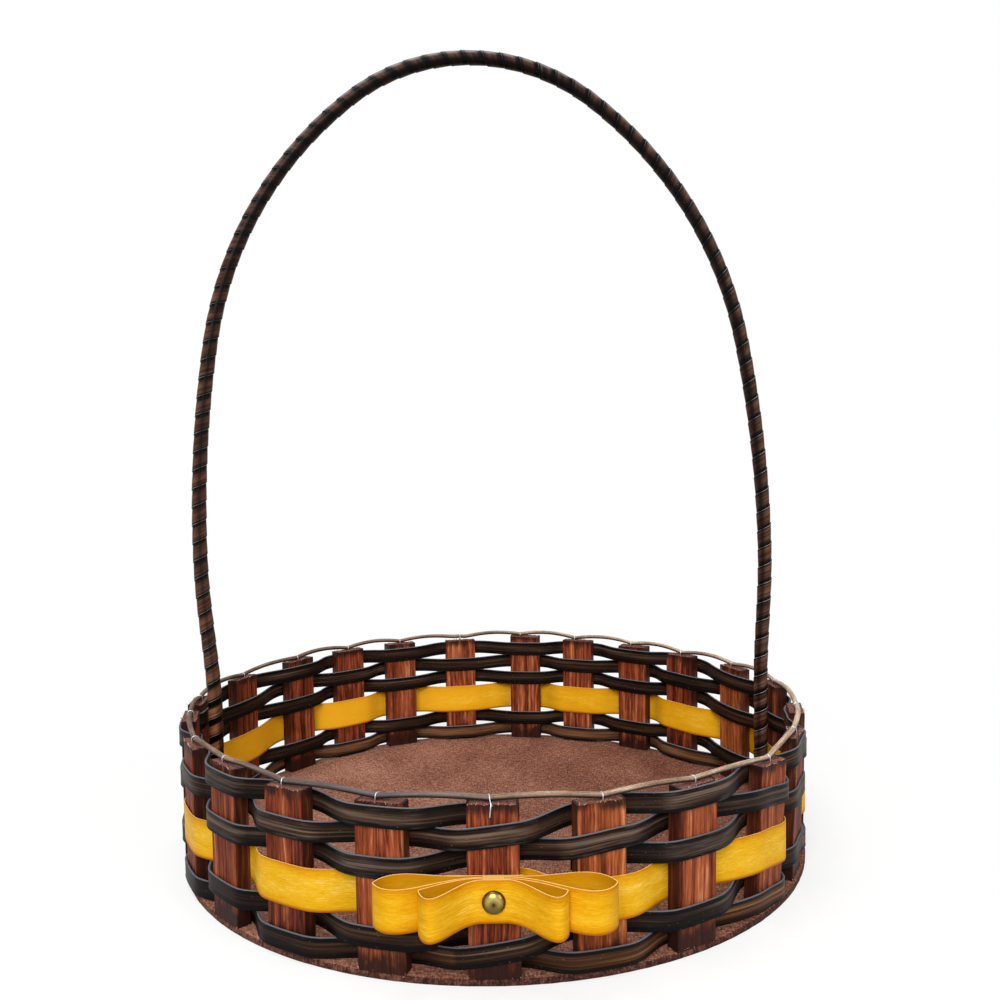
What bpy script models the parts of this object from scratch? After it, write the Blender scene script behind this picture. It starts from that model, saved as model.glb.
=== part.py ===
# Round woven tray basket with a fixed arch handle and a bow. Metres, +Z up, the bow faces -Y.
import math

import bmesh
import bpy
from mathutils import Matrix, Vector

# Fits
CLEARANCE = 0.0003  # between pieces that touch
CUT_OVERRUN = 0.001  # how far a cutter passes the surface it cuts
CRISP_ANGLE = math.radians(50)  # edges that bend more than this stay crisp

# Wall of upright stakes on a round board
WALL_RADIUS = 0.175  # to the stakes' outer faces and the board's edge
BOARD_THICKNESS = 0.003
STAKE_COUNT = 23  # odd, so that each turn of a weaver passes the other side of every stake
STAKE_WIDTH = 0.022
STAKE_THICKNESS = 0.008
STAKE_STANDOUT = 0.0016  # from the top row to the stakes' ends
BOARD_SIDES = 4 * STAKE_COUNT
# how far each hand-set stake stands from its even place, in spacings
STAKE_SHIFT_SHARES = (
    0.0, -0.03, -0.02, 0.19, 0.06, 0.08, 0.17, 0.23, 0.32, 0.19, 0.14, 0.01,
    0.07, 0.06, -0.05, -0.13, 0.05, 0.4, 0.02, 0.03, 0.02, -0.04, -0.02,
)
# how far each hand-sawn stake ends above or below the others, in stand-outs
STAKE_TOP_SHARES = (
    0.0, -1.2, -1.0, -1.9, -0.8, -0.6, 0.3, -0.1, -0.6, 0.1, 0.4, 1.5,
    0.1, 0.7, 0.7, 0.8, 1.2, 1.4, 0.6, -0.1, 0.4, -0.5, -0.6,
)

# Woven strips: two dark weavers wound as spirals and one wide yellow turn between them
STRIP_HEIGHT = 0.0096
STRIP_THICKNESS = 0.0012
BAND_HEIGHT = 0.0194
BAND_THICKNESS = 0.0005
LOW_ROW_LIFT = 0.0007  # the lowest row above the board
LOW_ROW_GAP = 0.0006
TOP_ROW_GAP = 0.0014
UPPER_TURNS = 3
LOWER_TURNS = 2
CLIMB_START_SHARE = -0.85  # where a weaver starts up to its next row, in spacings from the front stake
UPPER_CLIMB_SHARE = 2.0  # how far it takes, in spacings
LOWER_CLIMB_SHARE = 1.4
BAND_END_REACH = 0.0125  # from the front stake's middle to the band's outer end
BAND_START_LIFT = 0.0036  # how much higher it starts inside the front stake
BAND_END_LIFT = 0.0044  # and ends outside it, under the bow
BAND_EASE_SHARE = 0.35  # of each lift that is left at the next bend

# Cord stapled along the rim
CORD_RADIUS = 0.0013
CORD_FRONT_RISE = 0.0015  # how high it arches between two stakes at the front
CORD_BACK_RISE = 0.003
CORD_STEPS = 5  # from stake to stake
CORD_SIDES = 8
CORD_JOINT_STAKE = 12
CORD_JOINT_GAP = 0.0006
STAPLE_WIRE_RADIUS = 0.00045
STAPLE_LEG_DEPTH = 0.006
STAPLE_ARC_STEPS = 5
STAPLE_SIDES = 6
HOLE_SIDES = 8

# Arch handle: a round core wrapped in a flat strip, with its feet inside the wall
HANDLE_HEIGHT = 0.4481  # to the top of the wrap
CORE_RADIUS = 0.003
WRAP_THICKNESS = 0.0006
WRAP_PITCH = 0.01095
WRAP_GAP = 0.0005  # between turns, along the handle
WRAP_POINTS = 8  # in each turn
FOOT_CLEARANCES = 3  # between the wrap and the innermost strip
LEFT_FOOT_ANGLE = math.radians(-85.7)  # round the wall from the front, towards +X
RIGHT_FOOT_ANGLE = math.radians(94.8)
HANDLE_FLARE = 0.004  # how much wider each side is than its foot
HANDLE_LEAN = 0.0197  # sideways for each unit of height over the rim
# crown, shoulder and side arcs of the arch: radius in half-widths, and sweep in degrees
ARCH_ARC_SHARES = ((0.693, 37.0), (1.346, 42.4), (4.16, 10.6))
ARC_STEPS = 24
LEG_STEPS = 24
CORE_SIDES = 8
CORE_STATIONS = 60
NAIL_RADIUS = 0.001
POINT_SHARE = 0.25  # of its radius that a nail or a tack still has at its tip
POINT_LENGTH_SHARE = 2.0  # of its radius
NAIL_HEAD_RADIUS = 0.0024
NAIL_HEAD_THICKNESS = 0.0008
NAIL_GRIP = 0.014  # inside the handle's core
NAIL_SEAT_SIDES = 12

# Bow: two flattened loops of band and a domed tack at the front stake
TACK_ABOVE_BAND = 0.0054  # over the yellow band's middle
TACK_RADIUS = 0.0008
TACK_GRIP = 0.006  # inside the front stake
TACK_HEAD_RADIUS = 0.0049
TACK_HEAD_RISE = 0.0028
TACK_HEAD_RIM = 0.0005
TACK_SIDES = 16
DOME_STEPS = 5
BOW_HEIGHT = 0.0184  # the width of the band it is bent from
LOOP_FLAT = 0.005  # half the length that lies flat under the tack
LOOP_TAIL = 0.0044  # how far each loop's ends lap past the tack
LOOP_POWER = 2  # puts each loop's fullest place well out
LOOP_TIP_POWER = 0.8  # rounds its tip
LOOP_STEPS = 9
LAYERS_BEHIND = 2  # of band behind the large loop's middle
LAYERS_BETWEEN = 3  # from there to the small loop's middle
LAYERS_AT_TACK = 8
# each side of a loop: its length from the tack, how full it is in front and behind, how far its tip stands out
LARGE_LEFT = (0.0492, 0.0085, 0.0056, 0.0042)
LARGE_RIGHT = (0.0503, 0.0104, 0.0066, 0.0068)
SMALL_LEFT = (0.0301, 0.0106, 0.0, 0.0009)
SMALL_RIGHT = (0.0298, 0.0095, 0.0, 0.0009)

# Places that follow from the sizes
boardTop = BOARD_THICKNESS
stakeFoot = boardTop + CLEARANCE
innerRadius = WALL_RADIUS - STAKE_THICKNESS
lowPitch = STRIP_HEIGHT + LOW_ROW_GAP
topPitch = STRIP_HEIGHT + TOP_ROW_GAP
lowRow = boardTop + LOW_ROW_LIFT + STRIP_HEIGHT / 2
bandFoot = lowRow + (LOWER_TURNS - 1) * lowPitch + STRIP_HEIGHT / 2 + LOW_ROW_GAP
bandRow = bandFoot + BAND_HEIGHT / 2
upperRow = bandRow + BAND_HEIGHT / 2 + LOW_ROW_GAP + STRIP_HEIGHT / 2
stakeEnd = upperRow + (UPPER_TURNS - 1) * topPitch + STRIP_HEIGHT / 2 + STAKE_STANDOUT
cordRadius = WALL_RADIUS - STAKE_THICKNESS / 2
cordLift = CLEARANCE + CORD_RADIUS
stapleReach = CORD_RADIUS + CLEARANCE + STAPLE_WIRE_RADIUS
wrapInside = (CORE_RADIUS + CLEARANCE) / math.cos(math.pi / WRAP_POINTS)
wrapOutside = wrapInside + WRAP_THICKNESS
footRadius = innerRadius - STRIP_THICKNESS - wrapOutside - FOOT_CLEARANCES * CLEARANCE
tackHeight = bandRow + TACK_ABOVE_BAND
bandLayer = BAND_THICKNESS + CLEARANCE


def clearScene():
    for thing in list(bpy.data.objects):
        bpy.data.objects.remove(thing, do_unlink=True)


def finish(name, red, green, blue, roughness, metallic=0.0):
    material = bpy.data.materials.new(name)
    material.use_nodes = True
    shader = material.node_tree.nodes["Principled BSDF"]
    shader.inputs["Base Color"].default_value = (red, green, blue, 1.0)
    shader.inputs["Roughness"].default_value = roughness
    shader.inputs["Metallic"].default_value = metallic
    material.diffuse_color = (red, green, blue, 1.0)
    return material


def skin(name, rings, material, smooth=False):
    """Closes a run of point rings into one solid with a flat face at each end."""
    bm = bmesh.new()
    verts = [[bm.verts.new(point) for point in ring] for ring in rings]
    sides = len(rings[0])
    for low, high in zip(verts, verts[1:]):
        for i in range(sides):
            j = (i + 1) % sides
            bm.faces.new((low[i], low[j], high[j], high[i]))
    bm.faces.new(verts[0])
    bm.faces.new(verts[-1])
    bmesh.ops.recalc_face_normals(bm, faces=bm.faces)
    mesh = bpy.data.meshes.new(name)
    bm.to_mesh(mesh)
    bm.free()
    if smooth:
        mesh.shade_smooth()
        mesh.set_sharp_from_angle(angle=CRISP_ANGLE)
    return place(name, mesh, material)


def place(name, mesh, material):
    mesh.materials.clear()
    mesh.materials.append(material)
    thing = bpy.data.objects.new(name, mesh)
    bpy.context.scene.collection.objects.link(thing)
    return thing


def circle(radius, sides, turn=0.0):
    return [
        (radius * math.cos(turn + math.tau * i / sides), radius * math.sin(turn + math.tau * i / sides))
        for i in range(sides)
    ]


def turned(name, profile, sides, material, place_at):
    """A turned solid from (radius, height) pairs, set in place by a matrix."""
    rings = []
    for radius, height in profile:
        rings.append([place_at @ Vector((x, y, height)) for x, y in circle(radius, sides)])
    return skin(name, rings, material, smooth=True)


def tubeRings(points, across, radius, sides):
    """Rings round a path whose side direction is given at each point."""
    rings = []
    for i, point in enumerate(points):
        run = (points[min(i + 1, len(points) - 1)] - points[max(i - 1, 0)]).normalized()
        side = (across[i] - run * across[i].dot(run)).normalized()
        rise = run.cross(side)
        rings.append([point + side * x + rise * y for x, y in circle(radius, sides, math.pi / sides)])
    return rings


def cut(solid, cutter):
    """Takes the cutter's volume out of the solid and removes the cutter."""
    cutter.hide_render = True
    cutter.display_type = "WIRE"
    bite = solid.modifiers.new("bite", "BOOLEAN")
    bite.operation = "DIFFERENCE"
    bite.solver = "EXACT"
    bite.object = cutter
    seen = solid.evaluated_get(bpy.context.evaluated_depsgraph_get())
    mesh = bpy.data.meshes.new_from_object(seen)
    solid.modifiers.clear()
    mesh.name = solid.name
    solid.data = mesh
    bpy.data.objects.remove(cutter, do_unlink=True)


def stakeAngle(index):
    """The angle of a stake round the wall, from the front towards +X."""
    return math.tau / STAKE_COUNT * (index + STAKE_SHIFT_SHARES[index % STAKE_COUNT])


def stakeFrame(index):
    """Local X runs along the wall, Y inwards and Z up, with the origin on the basket's axis."""
    return Matrix.Rotation(stakeAngle(index), 4, "Z")


def stakeTop(index):
    return stakeEnd + STAKE_STANDOUT * STAKE_TOP_SHARES[index % STAKE_COUNT]


def wallPoint(index, along, radius, height):
    return stakeFrame(index) @ Vector((along, -radius, height))


def makeBoard(material):
    profile = ((WALL_RADIUS, 0.0), (WALL_RADIUS, BOARD_THICKNESS))
    return turned("base_board", profile, BOARD_SIDES, material, Matrix.Identity(4))


def stakeBlank(name, top, material):
    bm = bmesh.new()
    bmesh.ops.create_cube(bm, size=1.0)
    height = top - stakeFoot
    bmesh.ops.scale(bm, vec=(STAKE_WIDTH, STAKE_THICKNESS, height), verts=bm.verts)
    bmesh.ops.translate(bm, vec=(0.0, 0.0, stakeFoot + height / 2), verts=bm.verts)
    mesh = bpy.data.meshes.new(name)
    bm.to_mesh(mesh)
    bm.free()
    return place(name, mesh, material)


def holeCutter(radius, depth, place_at, sides=HOLE_SIDES):
    """A round cutter that goes down from the frame's origin by the depth, and passes it by the overrun."""
    return turned("cutter", ((radius, -depth), (radius, CUT_OVERRUN)), sides, None, place_at)


def makeStakes(material):
    stakes = []
    for index in range(STAKE_COUNT):
        top = stakeTop(index)
        stake = stakeBlank(f"stake_{index + 1:02d}", top, material)
        for side in (-1, 1):
            seat = Matrix.Translation((0.0, side * stapleReach, top))
            cut(stake, holeCutter(STAPLE_WIRE_RADIUS + CLEARANCE, STAPLE_LEG_DEPTH + CLEARANCE, seat))
        stake.rotation_euler.z = stakeAngle(index)
        stake.location = wallPoint(index, 0.0, cordRadius, 0.0)
        stakes.append(stake)
    bpy.context.view_layer.update()
    cut(stakes[0], holeCutter(TACK_RADIUS + CLEARANCE, TACK_GRIP + CLEARANCE, tackFrame(WALL_RADIUS)))


def ribbonRings(path, thickness, height):
    """Rings of a strip that stands on edge along a path, with its bends mitred."""
    rings = []
    for i, point in enumerate(path):
        before = path[max(i - 1, 0)]
        after = path[min(i + 1, len(path) - 1)]
        arrive = (point - before).to_2d() if i else (after - point).to_2d()
        leave = (after - point).to_2d() if i < len(path) - 1 else arrive
        run = (arrive.normalized() + leave.normalized()).normalized()
        mitre = 1.0 / run.dot(arrive.normalized())
        out = Vector((run.y, -run.x, 0.0)) * (thickness / 2 * mitre)
        rise = Vector((0.0, 0.0, height / 2))
        rings.append([point - out - rise, point + out - rise, point + out + rise, point - out + rise])
    return rings


def weavePath(first, turns, outside, thickness, start, pitch, climb):
    """A strip's middle line from stake to stake, outside the stakes whose index has the given parity."""
    path = []
    spacing = math.tau * cordRadius / STAKE_COUNT
    reach = STAKE_WIDTH / 2 + CLEARANCE

    def level(index):
        past = [index - turn * STAKE_COUNT - CLIMB_START_SHARE for turn in range(1, turns)]
        return start + pitch * sum(min(max(spacings / climb, 0.0), 1.0) for spacings in past)

    for index in range(first, turns * STAKE_COUNT + 1):
        offset = CLEARANCE + thickness / 2
        radius = WALL_RADIUS + offset if index % 2 == outside else innerRadius - offset
        if path:
            middle = (path[-1] + wallPoint(index, -reach, radius, 0.0)) / 2
            middle.z = level(index - 0.5)
            path.append(middle)
        for side in (-1, 1):
            path.append(wallPoint(index, side * reach, radius, level(index + side * reach / spacing)))
    return path


def makeWeavers(material):
    upper = weavePath(1, UPPER_TURNS, 0, STRIP_THICKNESS, upperRow, topPitch, UPPER_CLIMB_SHARE)
    skin("upper_weaver", ribbonRings(upper, STRIP_THICKNESS, STRIP_HEIGHT), material)
    lower = weavePath(0, LOWER_TURNS, 1, STRIP_THICKNESS, lowRow, lowPitch, LOWER_CLIMB_SHARE)
    skin("lower_weaver", ribbonRings(lower, STRIP_THICKNESS, STRIP_HEIGHT), material)


def makeBand(material):
    path = weavePath(0, 1, 1, BAND_THICKNESS, bandRow, 0.0, 1.0)
    path[-1] = wallPoint(0, BAND_END_REACH, WALL_RADIUS + CLEARANCE + BAND_THICKNESS / 2, bandRow)
    for points, lift in ((path[:3], BAND_START_LIFT), (path[:-4:-1], BAND_END_LIFT)):
        for point in points[:2]:
            point.z += lift
        points[2].z += lift * BAND_EASE_SHARE
    band = skin("yellow_band", ribbonRings(path, BAND_THICKNESS, BAND_HEIGHT), material)
    cut(band, tackHole())


def makeCord(material):
    points = []
    across = []
    for span in range(STAKE_COUNT):
        index = CORD_JOINT_STAKE + span
        start, end = stakeAngle(index), stakeAngle(index + 1)
        low, high = stakeTop(index), stakeTop(index + 1)
        back = (1 - math.cos((start + end) / 2)) / 2
        rise = CORD_FRONT_RISE + (CORD_BACK_RISE - CORD_FRONT_RISE) * back
        for step in range(CORD_STEPS + (span == STAKE_COUNT - 1)):
            share = step / CORD_STEPS
            angle = start + (end - start) * share
            if not points:
                angle += CORD_JOINT_GAP / 2 / cordRadius
            elif share == 1.0:
                angle -= CORD_JOINT_GAP / 2 / cordRadius
            out = Vector((math.sin(angle), -math.cos(angle), 0.0))
            height = low + (high - low) * share + cordLift + rise * math.sin(math.pi * share)
            points.append(out * cordRadius + Vector((0.0, 0.0, height)))
            across.append(out)
    skin("rim_cord", tubeRings(points, across, CORD_RADIUS, CORD_SIDES), material, smooth=True)


def makeStaples(material):
    """One bent staple, set over the cord on every stake; its own zero is the stake's end."""
    points = [Vector((0.0, -stapleReach, -STAPLE_LEG_DEPTH))]
    for step in range(STAPLE_ARC_STEPS + 1):
        angle = math.pi * step / STAPLE_ARC_STEPS
        height = cordLift + stapleReach * math.sin(angle)
        points.append(Vector((0.0, -stapleReach * math.cos(angle), height)))
    points.append(Vector((0.0, stapleReach, -STAPLE_LEG_DEPTH)))
    along = [Vector((1.0, 0.0, 0.0))] * len(points)
    rings = tubeRings(points, along, STAPLE_WIRE_RADIUS, STAPLE_SIDES)
    first = skin("rim_staple_01", rings, material, smooth=True)
    names = [f"rim_staple_{index + 1:02d}" for index in range(1, STAKE_COUNT)]
    staples = [first] + [place(name, first.data, material) for name in names]
    for index, staple in enumerate(staples):
        staple.rotation_euler.z = stakeAngle(index)
        staple.location = wallPoint(index, 0.0, cordRadius, stakeTop(index))


def handleRoute():
    """The handle's middle line as closely set points, from the left foot over the arch to the right."""
    left = Vector((math.sin(LEFT_FOOT_ANGLE), -math.cos(LEFT_FOOT_ANGLE), 0.0)) * footRadius
    right = Vector((math.sin(RIGHT_FOOT_ANGLE), -math.cos(RIGHT_FOOT_ANGLE), 0.0)) * footRadius
    middle = (left + right) / 2
    along = (right - left).normalized()
    footSpan = (right - left).length / 2
    span = footSpan + HANDLE_FLARE
    across = 0.0
    drop = 0.0
    slope = 0.0
    half = [(0.0, 0.0)]
    for radius_share, sweep in ARCH_ARC_SHARES:
        for step in range(ARC_STEPS):
            turn = math.radians(sweep) / ARC_STEPS
            across += radius_share * span * turn * math.cos(slope + turn / 2)
            drop += radius_share * span * turn * math.sin(slope + turn / 2)
            slope += turn
            half.append((across, drop))
    top = HANDLE_HEIGHT - wrapOutside
    half = [(x * span / across, top - z) for x, z in half]
    widest = half[-1][1]
    for step in range(1, LEG_STEPS + 1):
        share = step / LEG_STEPS
        ease = share * share * (3 - 2 * share)
        half.append((span - HANDLE_FLARE * ease, widest + (stakeEnd - widest) * share))
    half.append((footSpan, stakeFoot))
    outline = [(-x, z) for x, z in reversed(half)] + half[1:]
    up = Vector((0.0, 0.0, 1.0))
    points = []
    for x, z in outline:
        lean = HANDLE_LEAN * max(z - stakeEnd, 0.0)
        points.append(middle + along * (x - lean) + up * z)
    return points, along.cross(up)


class Rail:
    """Finds places along a route by their distance from its start."""

    def __init__(self, points, side):
        self.points = points
        self.side = side
        self.marks = [0.0]
        for before, after in zip(points, points[1:]):
            self.marks.append(self.marks[-1] + (after - before).length)
        self.length = self.marks[-1]

    def at(self, distance):
        i = 1
        while i < len(self.marks) - 1 and self.marks[i] < distance:
            i += 1
        share = (distance - self.marks[i - 1]) / (self.marks[i] - self.marks[i - 1])
        point = self.points[i - 1].lerp(self.points[i], share)
        run = (self.tangent(i - 1).lerp(self.tangent(i), share)).normalized()
        return point, run.cross(self.side).normalized()

    def tangent(self, i):
        last = len(self.points) - 1
        return (self.points[min(i + 1, last)] - self.points[max(i - 1, 0)]).normalized()

    def ring(self, distance, radius, angle):
        """The place at an angle round the rail and a radius from it."""
        point, rise = self.at(distance)
        return point + (self.side * math.cos(angle) + rise * math.sin(angle)) * radius


def handleRail():
    points, side = handleRoute()
    return Rail(points, side)


def makeCore(material):
    rail = handleRail()
    turn = math.pi / CORE_SIDES
    rings = []
    for station in range(CORE_STATIONS + 1):
        distance = rail.length * station / CORE_STATIONS
        angles = [turn + math.tau * i / CORE_SIDES for i in range(CORE_SIDES)]
        rings.append([rail.ring(distance, CORE_RADIUS, angle) for angle in angles])
    core = skin("handle_core", rings, material, smooth=True)
    for foot in footFrames():
        cut(core, holeCutter(NAIL_RADIUS + CLEARANCE, NAIL_GRIP + CLEARANCE, flipped(foot)))


def footFrames():
    """A frame at the middle of each foot's end face, with local Z up the leg."""
    points = handleRail().points
    frames = []
    for foot, above in ((points[0], points[1]), (points[-1], points[-2])):
        turn = (above - foot).to_track_quat("Z", "Y")
        frames.append(Matrix.Translation(foot) @ turn.to_matrix().to_4x4())
    return frames


def flipped(frame):
    return frame @ Matrix.Rotation(math.pi, 4, "X")


def makeWrap(material):
    """One flat strip wound up the left leg, over the arch and down the right leg."""
    rail = handleRail()
    width = WRAP_PITCH - WRAP_GAP
    step = WRAP_PITCH / WRAP_POINTS
    count = int((rail.length - width) / step)
    rings = []
    for i in range(count + 1):
        middle = width / 2 + i * step
        angle = math.tau * i / WRAP_POINTS
        low, high = middle - width / 2, middle + width / 2
        corners = ((low, wrapInside), (low, wrapOutside), (high, wrapOutside), (high, wrapInside))
        rings.append([rail.ring(distance, radius, angle) for distance, radius in corners])
    skin("handle_wrap", rings, material)
    least = min(turnGap(rings, i) for i in range(len(rings) - WRAP_POINTS - 1))
    print(f"handle_wrap: {count / WRAP_POINTS:.1f} turns, least gap to itself {least * 1000:.3f} mm")


def turnGap(rings, i):
    """The least distance from the strip's upper edge at a ring to the lower edge one turn on."""
    gaps = []
    near = range(i + WRAP_POINTS - 2, min(i + WRAP_POINTS + 2, len(rings) - 1))
    for upper, lower in ((2, 1), (3, 0)):
        point = rings[i][upper]
        for j in near:
            start, end = rings[j][lower], rings[j + 1][lower]
            share = min(max((point - start).dot(end - start) / (end - start).length_squared, 0.0), 1.0)
            gaps.append((point - start.lerp(end, share)).length)
    return min(gaps)


def makeNails(board, material):
    head = NAIL_HEAD_RADIUS
    sink = NAIL_HEAD_THICKNESS + CLEARANCE
    for name, foot in zip(("handle_nail_left", "handle_nail_right"), footFrames()):
        spot = foot.translation.copy()
        spot.z = 0.0
        seat = Matrix.Translation(spot)
        countersink = ((head + CLEARANCE, -CUT_OVERRUN), (head + CLEARANCE, sink))
        cut(board, turned("cutter", countersink, NAIL_SEAT_SIDES, None, seat))
        bore = NAIL_RADIUS + CLEARANCE
        through = ((bore, -CUT_OVERRUN), (bore, boardTop + CUT_OVERRUN))
        cut(board, turned("cutter", through, HOLE_SIDES, None, seat))
        profile = (
            (head, 0.0),
            (head, NAIL_HEAD_THICKNESS),
            (NAIL_RADIUS, NAIL_HEAD_THICKNESS),
            (NAIL_RADIUS, stakeFoot + NAIL_GRIP - POINT_LENGTH_SHARE * NAIL_RADIUS),
            (NAIL_RADIUS * POINT_SHARE, stakeFoot + NAIL_GRIP),
        )
        turned(name, profile, HOLE_SIDES, material, seat)


def tackFrame(distance):
    """A frame on the tack's axis at a distance from the basket's axis, with local Z outwards."""
    return Matrix.Translation((0.0, -distance, tackHeight)) @ Matrix.Rotation(math.pi / 2, 4, "X")


def tackHole():
    """A cutter through every layer of band at the tack."""
    layers = LAYERS_AT_TACK * bandLayer
    return holeCutter(TACK_RADIUS + CLEARANCE, layers, tackFrame(WALL_RADIUS + layers))


def swell(share):
    """Nought at the flat and at a loop's tip, one at its fullest."""
    peak = LOOP_POWER / (LOOP_POWER + 2 * LOOP_TIP_POWER)
    fullest = peak ** (LOOP_POWER / 2) * (1 - peak) ** LOOP_TIP_POWER
    return share**LOOP_POWER * (1 - share * share) ** LOOP_TIP_POWER / fullest


def loopShare(along, length, flat=LOOP_FLAT):
    """How far along one side of a loop a place is, from its flat to its tip."""
    return min(max((along - flat) / (length - flat), 0.0), 1.0)


def loopPath(left, right, start, ride):
    """A loop of band seen from above: the first tail, the left lobe, the right lobe and the last tail."""
    path = []

    def add(side, along, face, layer):
        length, front, behind, reach = left if side < 0 else right
        share = loopShare(along, length)
        if face > 0:
            full = front * swell(share)
        else:
            full = -behind * swell(loopShare(along, length, BAND_END_REACH))
        out = start + ride(side, along) + reach * share * share + full
        out += layer * bandLayer * (1 - share * share)
        path.append(Vector((side * along, -out, tackHeight)))

    def addFace(side, face, layer, outwards):
        length = left[0] if side < 0 else right[0]
        steps = range(LOOP_STEPS) if outwards else reversed(range(LOOP_STEPS))
        for step in steps:
            share = math.sin(math.pi / 2 * step / LOOP_STEPS)
            add(side, LOOP_FLAT + (length - LOOP_FLAT) * share, face, layer)

    add(1, LOOP_TAIL, -1, -1)
    addFace(-1, -1, -1, True)
    add(-1, left[0], 1, 0)
    addFace(-1, 1, 1, False)
    addFace(1, 1, 1, True)
    add(1, right[0], 1, 0)
    addFace(1, -1, 0, False)
    add(-1, LOOP_TAIL, -1, 0)
    return path


def makeBow(material):
    """Returns the distance of the bow's front from the basket's axis."""
    middleLayer = WALL_RADIUS + CLEARANCE + LAYERS_BEHIND * bandLayer + BAND_THICKNESS / 2
    large = loopPath(LARGE_LEFT, LARGE_RIGHT, middleLayer, lambda side, along: 0.0)

    def largeFront(side, along):
        length, front, _, reach = LARGE_LEFT if side < 0 else LARGE_RIGHT
        share = loopShare(along, length)
        return reach * share * share + front * swell(share)

    frontMiddle = middleLayer + LAYERS_BETWEEN * bandLayer
    small = loopPath(SMALL_LEFT, SMALL_RIGHT, frontMiddle, largeFront)
    for name, path in (("bow_large_loop", large), ("bow_small_loop", small)):
        loop = skin(name, ribbonRings(path, BAND_THICKNESS, BOW_HEIGHT), material)
        cut(loop, tackHole())
    return frontMiddle + bandLayer + BAND_THICKNESS / 2


def makeTack(bowFront, material):
    seat = bowFront + CLEARANCE - WALL_RADIUS
    dome = TACK_HEAD_RISE - TACK_HEAD_RIM
    profile = [
        (TACK_RADIUS * POINT_SHARE, -TACK_GRIP),
        (TACK_RADIUS, TACK_RADIUS * POINT_LENGTH_SHARE - TACK_GRIP),
        (TACK_RADIUS, seat),
        (TACK_HEAD_RADIUS, seat),
    ]
    for step in range(DOME_STEPS):
        angle = math.pi / 2 * step / DOME_STEPS
        height = seat + TACK_HEAD_RIM + dome * math.sin(angle)
        profile.append((TACK_HEAD_RADIUS * math.cos(angle), height))
    turned("bow_tack", profile, TACK_SIDES, material, tackFrame(WALL_RADIUS))


def main():
    clearScene()
    hardboard = finish("brown hardboard", 0.26, 0.12, 0.09, 0.7)
    pine = finish("stained pine", 0.25, 0.08, 0.04, 0.6)
    darkStrip = finish("dark brown strip", 0.06, 0.035, 0.025, 0.4)
    yellowStrip = finish("yellow strip", 0.85, 0.45, 0.03, 0.45)
    cord = finish("tan cord", 0.35, 0.25, 0.18, 0.7)
    wire = finish("galvanised wire", 0.6, 0.6, 0.6, 0.35, 1.0)
    brass = finish("brass", 0.6, 0.44, 0.14, 0.3, 1.0)
    board = makeBoard(hardboard)
    makeStakes(pine)
    makeWeavers(darkStrip)
    makeBand(yellowStrip)
    makeCord(cord)
    makeStaples(wire)
    makeCore(pine)
    makeWrap(darkStrip)
    makeNails(board, wire)
    bowFront = makeBow(yellowStrip)
    makeTack(bowFront, brass)


main()
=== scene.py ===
# Round woven tray basket with a wrapped arch handle and a bow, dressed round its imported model.
import bisect
import math
import random

import bpy
from mathutils import Matrix, Vector, noise


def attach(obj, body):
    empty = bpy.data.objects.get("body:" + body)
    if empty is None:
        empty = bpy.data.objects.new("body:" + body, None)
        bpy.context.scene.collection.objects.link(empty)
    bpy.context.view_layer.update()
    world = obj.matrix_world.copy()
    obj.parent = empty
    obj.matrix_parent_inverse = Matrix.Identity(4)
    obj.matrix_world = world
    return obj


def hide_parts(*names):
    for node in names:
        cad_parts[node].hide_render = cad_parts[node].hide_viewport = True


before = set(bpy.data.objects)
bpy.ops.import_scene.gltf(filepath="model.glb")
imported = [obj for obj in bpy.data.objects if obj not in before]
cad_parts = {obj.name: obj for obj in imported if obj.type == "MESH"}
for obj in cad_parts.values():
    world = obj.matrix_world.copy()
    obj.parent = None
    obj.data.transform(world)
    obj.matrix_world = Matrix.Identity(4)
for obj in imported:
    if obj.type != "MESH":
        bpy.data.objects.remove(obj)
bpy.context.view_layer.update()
mm = 0.001
up = Vector((0, 0, 1))
smooth = {"interpolation_type": "SMOOTHSTEP"}  # for a range that eases in and out
print("packed model loaded")


# Helpers for nodes, materials and meshes

def colour(text):
    channels = [int(text[i:i + 2], 16) / 255 for i in (1, 3, 5)]
    linear = [c / 12.92 if c <= 0.04045 else ((c + 0.055) / 1.055) ** 2.4 for c in channels]
    return (*linear, 1.0)


def linkUp(tree, node, links):
    # each input named or numbered, from another node or from one of its sockets
    for key, source in links.items():
        if isinstance(source, bpy.types.Node):
            source = next(socket for socket in source.outputs if socket.enabled)
        tree.links.new(source, node.inputs[key])


def addNode(tree, kind, settings=None, links=None):
    # one node with its settings and links; kind is its type without the leading ShaderNode
    node = tree.nodes.new("ShaderNode" + kind)
    for key, value in (settings or {}).items():
        if key == "stops":  # a ramp's places and colours
            while len(node.color_ramp.elements) < len(value):
                node.color_ramp.elements.new(0.5)
            for element, (place, text) in zip(node.color_ramp.elements, value):
                element.position = place
                element.color = colour(text)
        elif isinstance(key, str) and hasattr(node, key):
            setattr(node, key, value)
        else:
            node.inputs[key].default_value = colour(value) if isinstance(value, str) else value
    linkUp(tree, node, links or {})
    return node


def newMaterial(name, settings):
    material = bpy.data.materials.new(name)
    material.use_nodes = True
    tree = material.node_tree
    shader = tree.nodes["Principled BSDF"]
    for key, value in settings.items():
        shader.inputs[key].default_value = value
    return material, tree, shader


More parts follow.
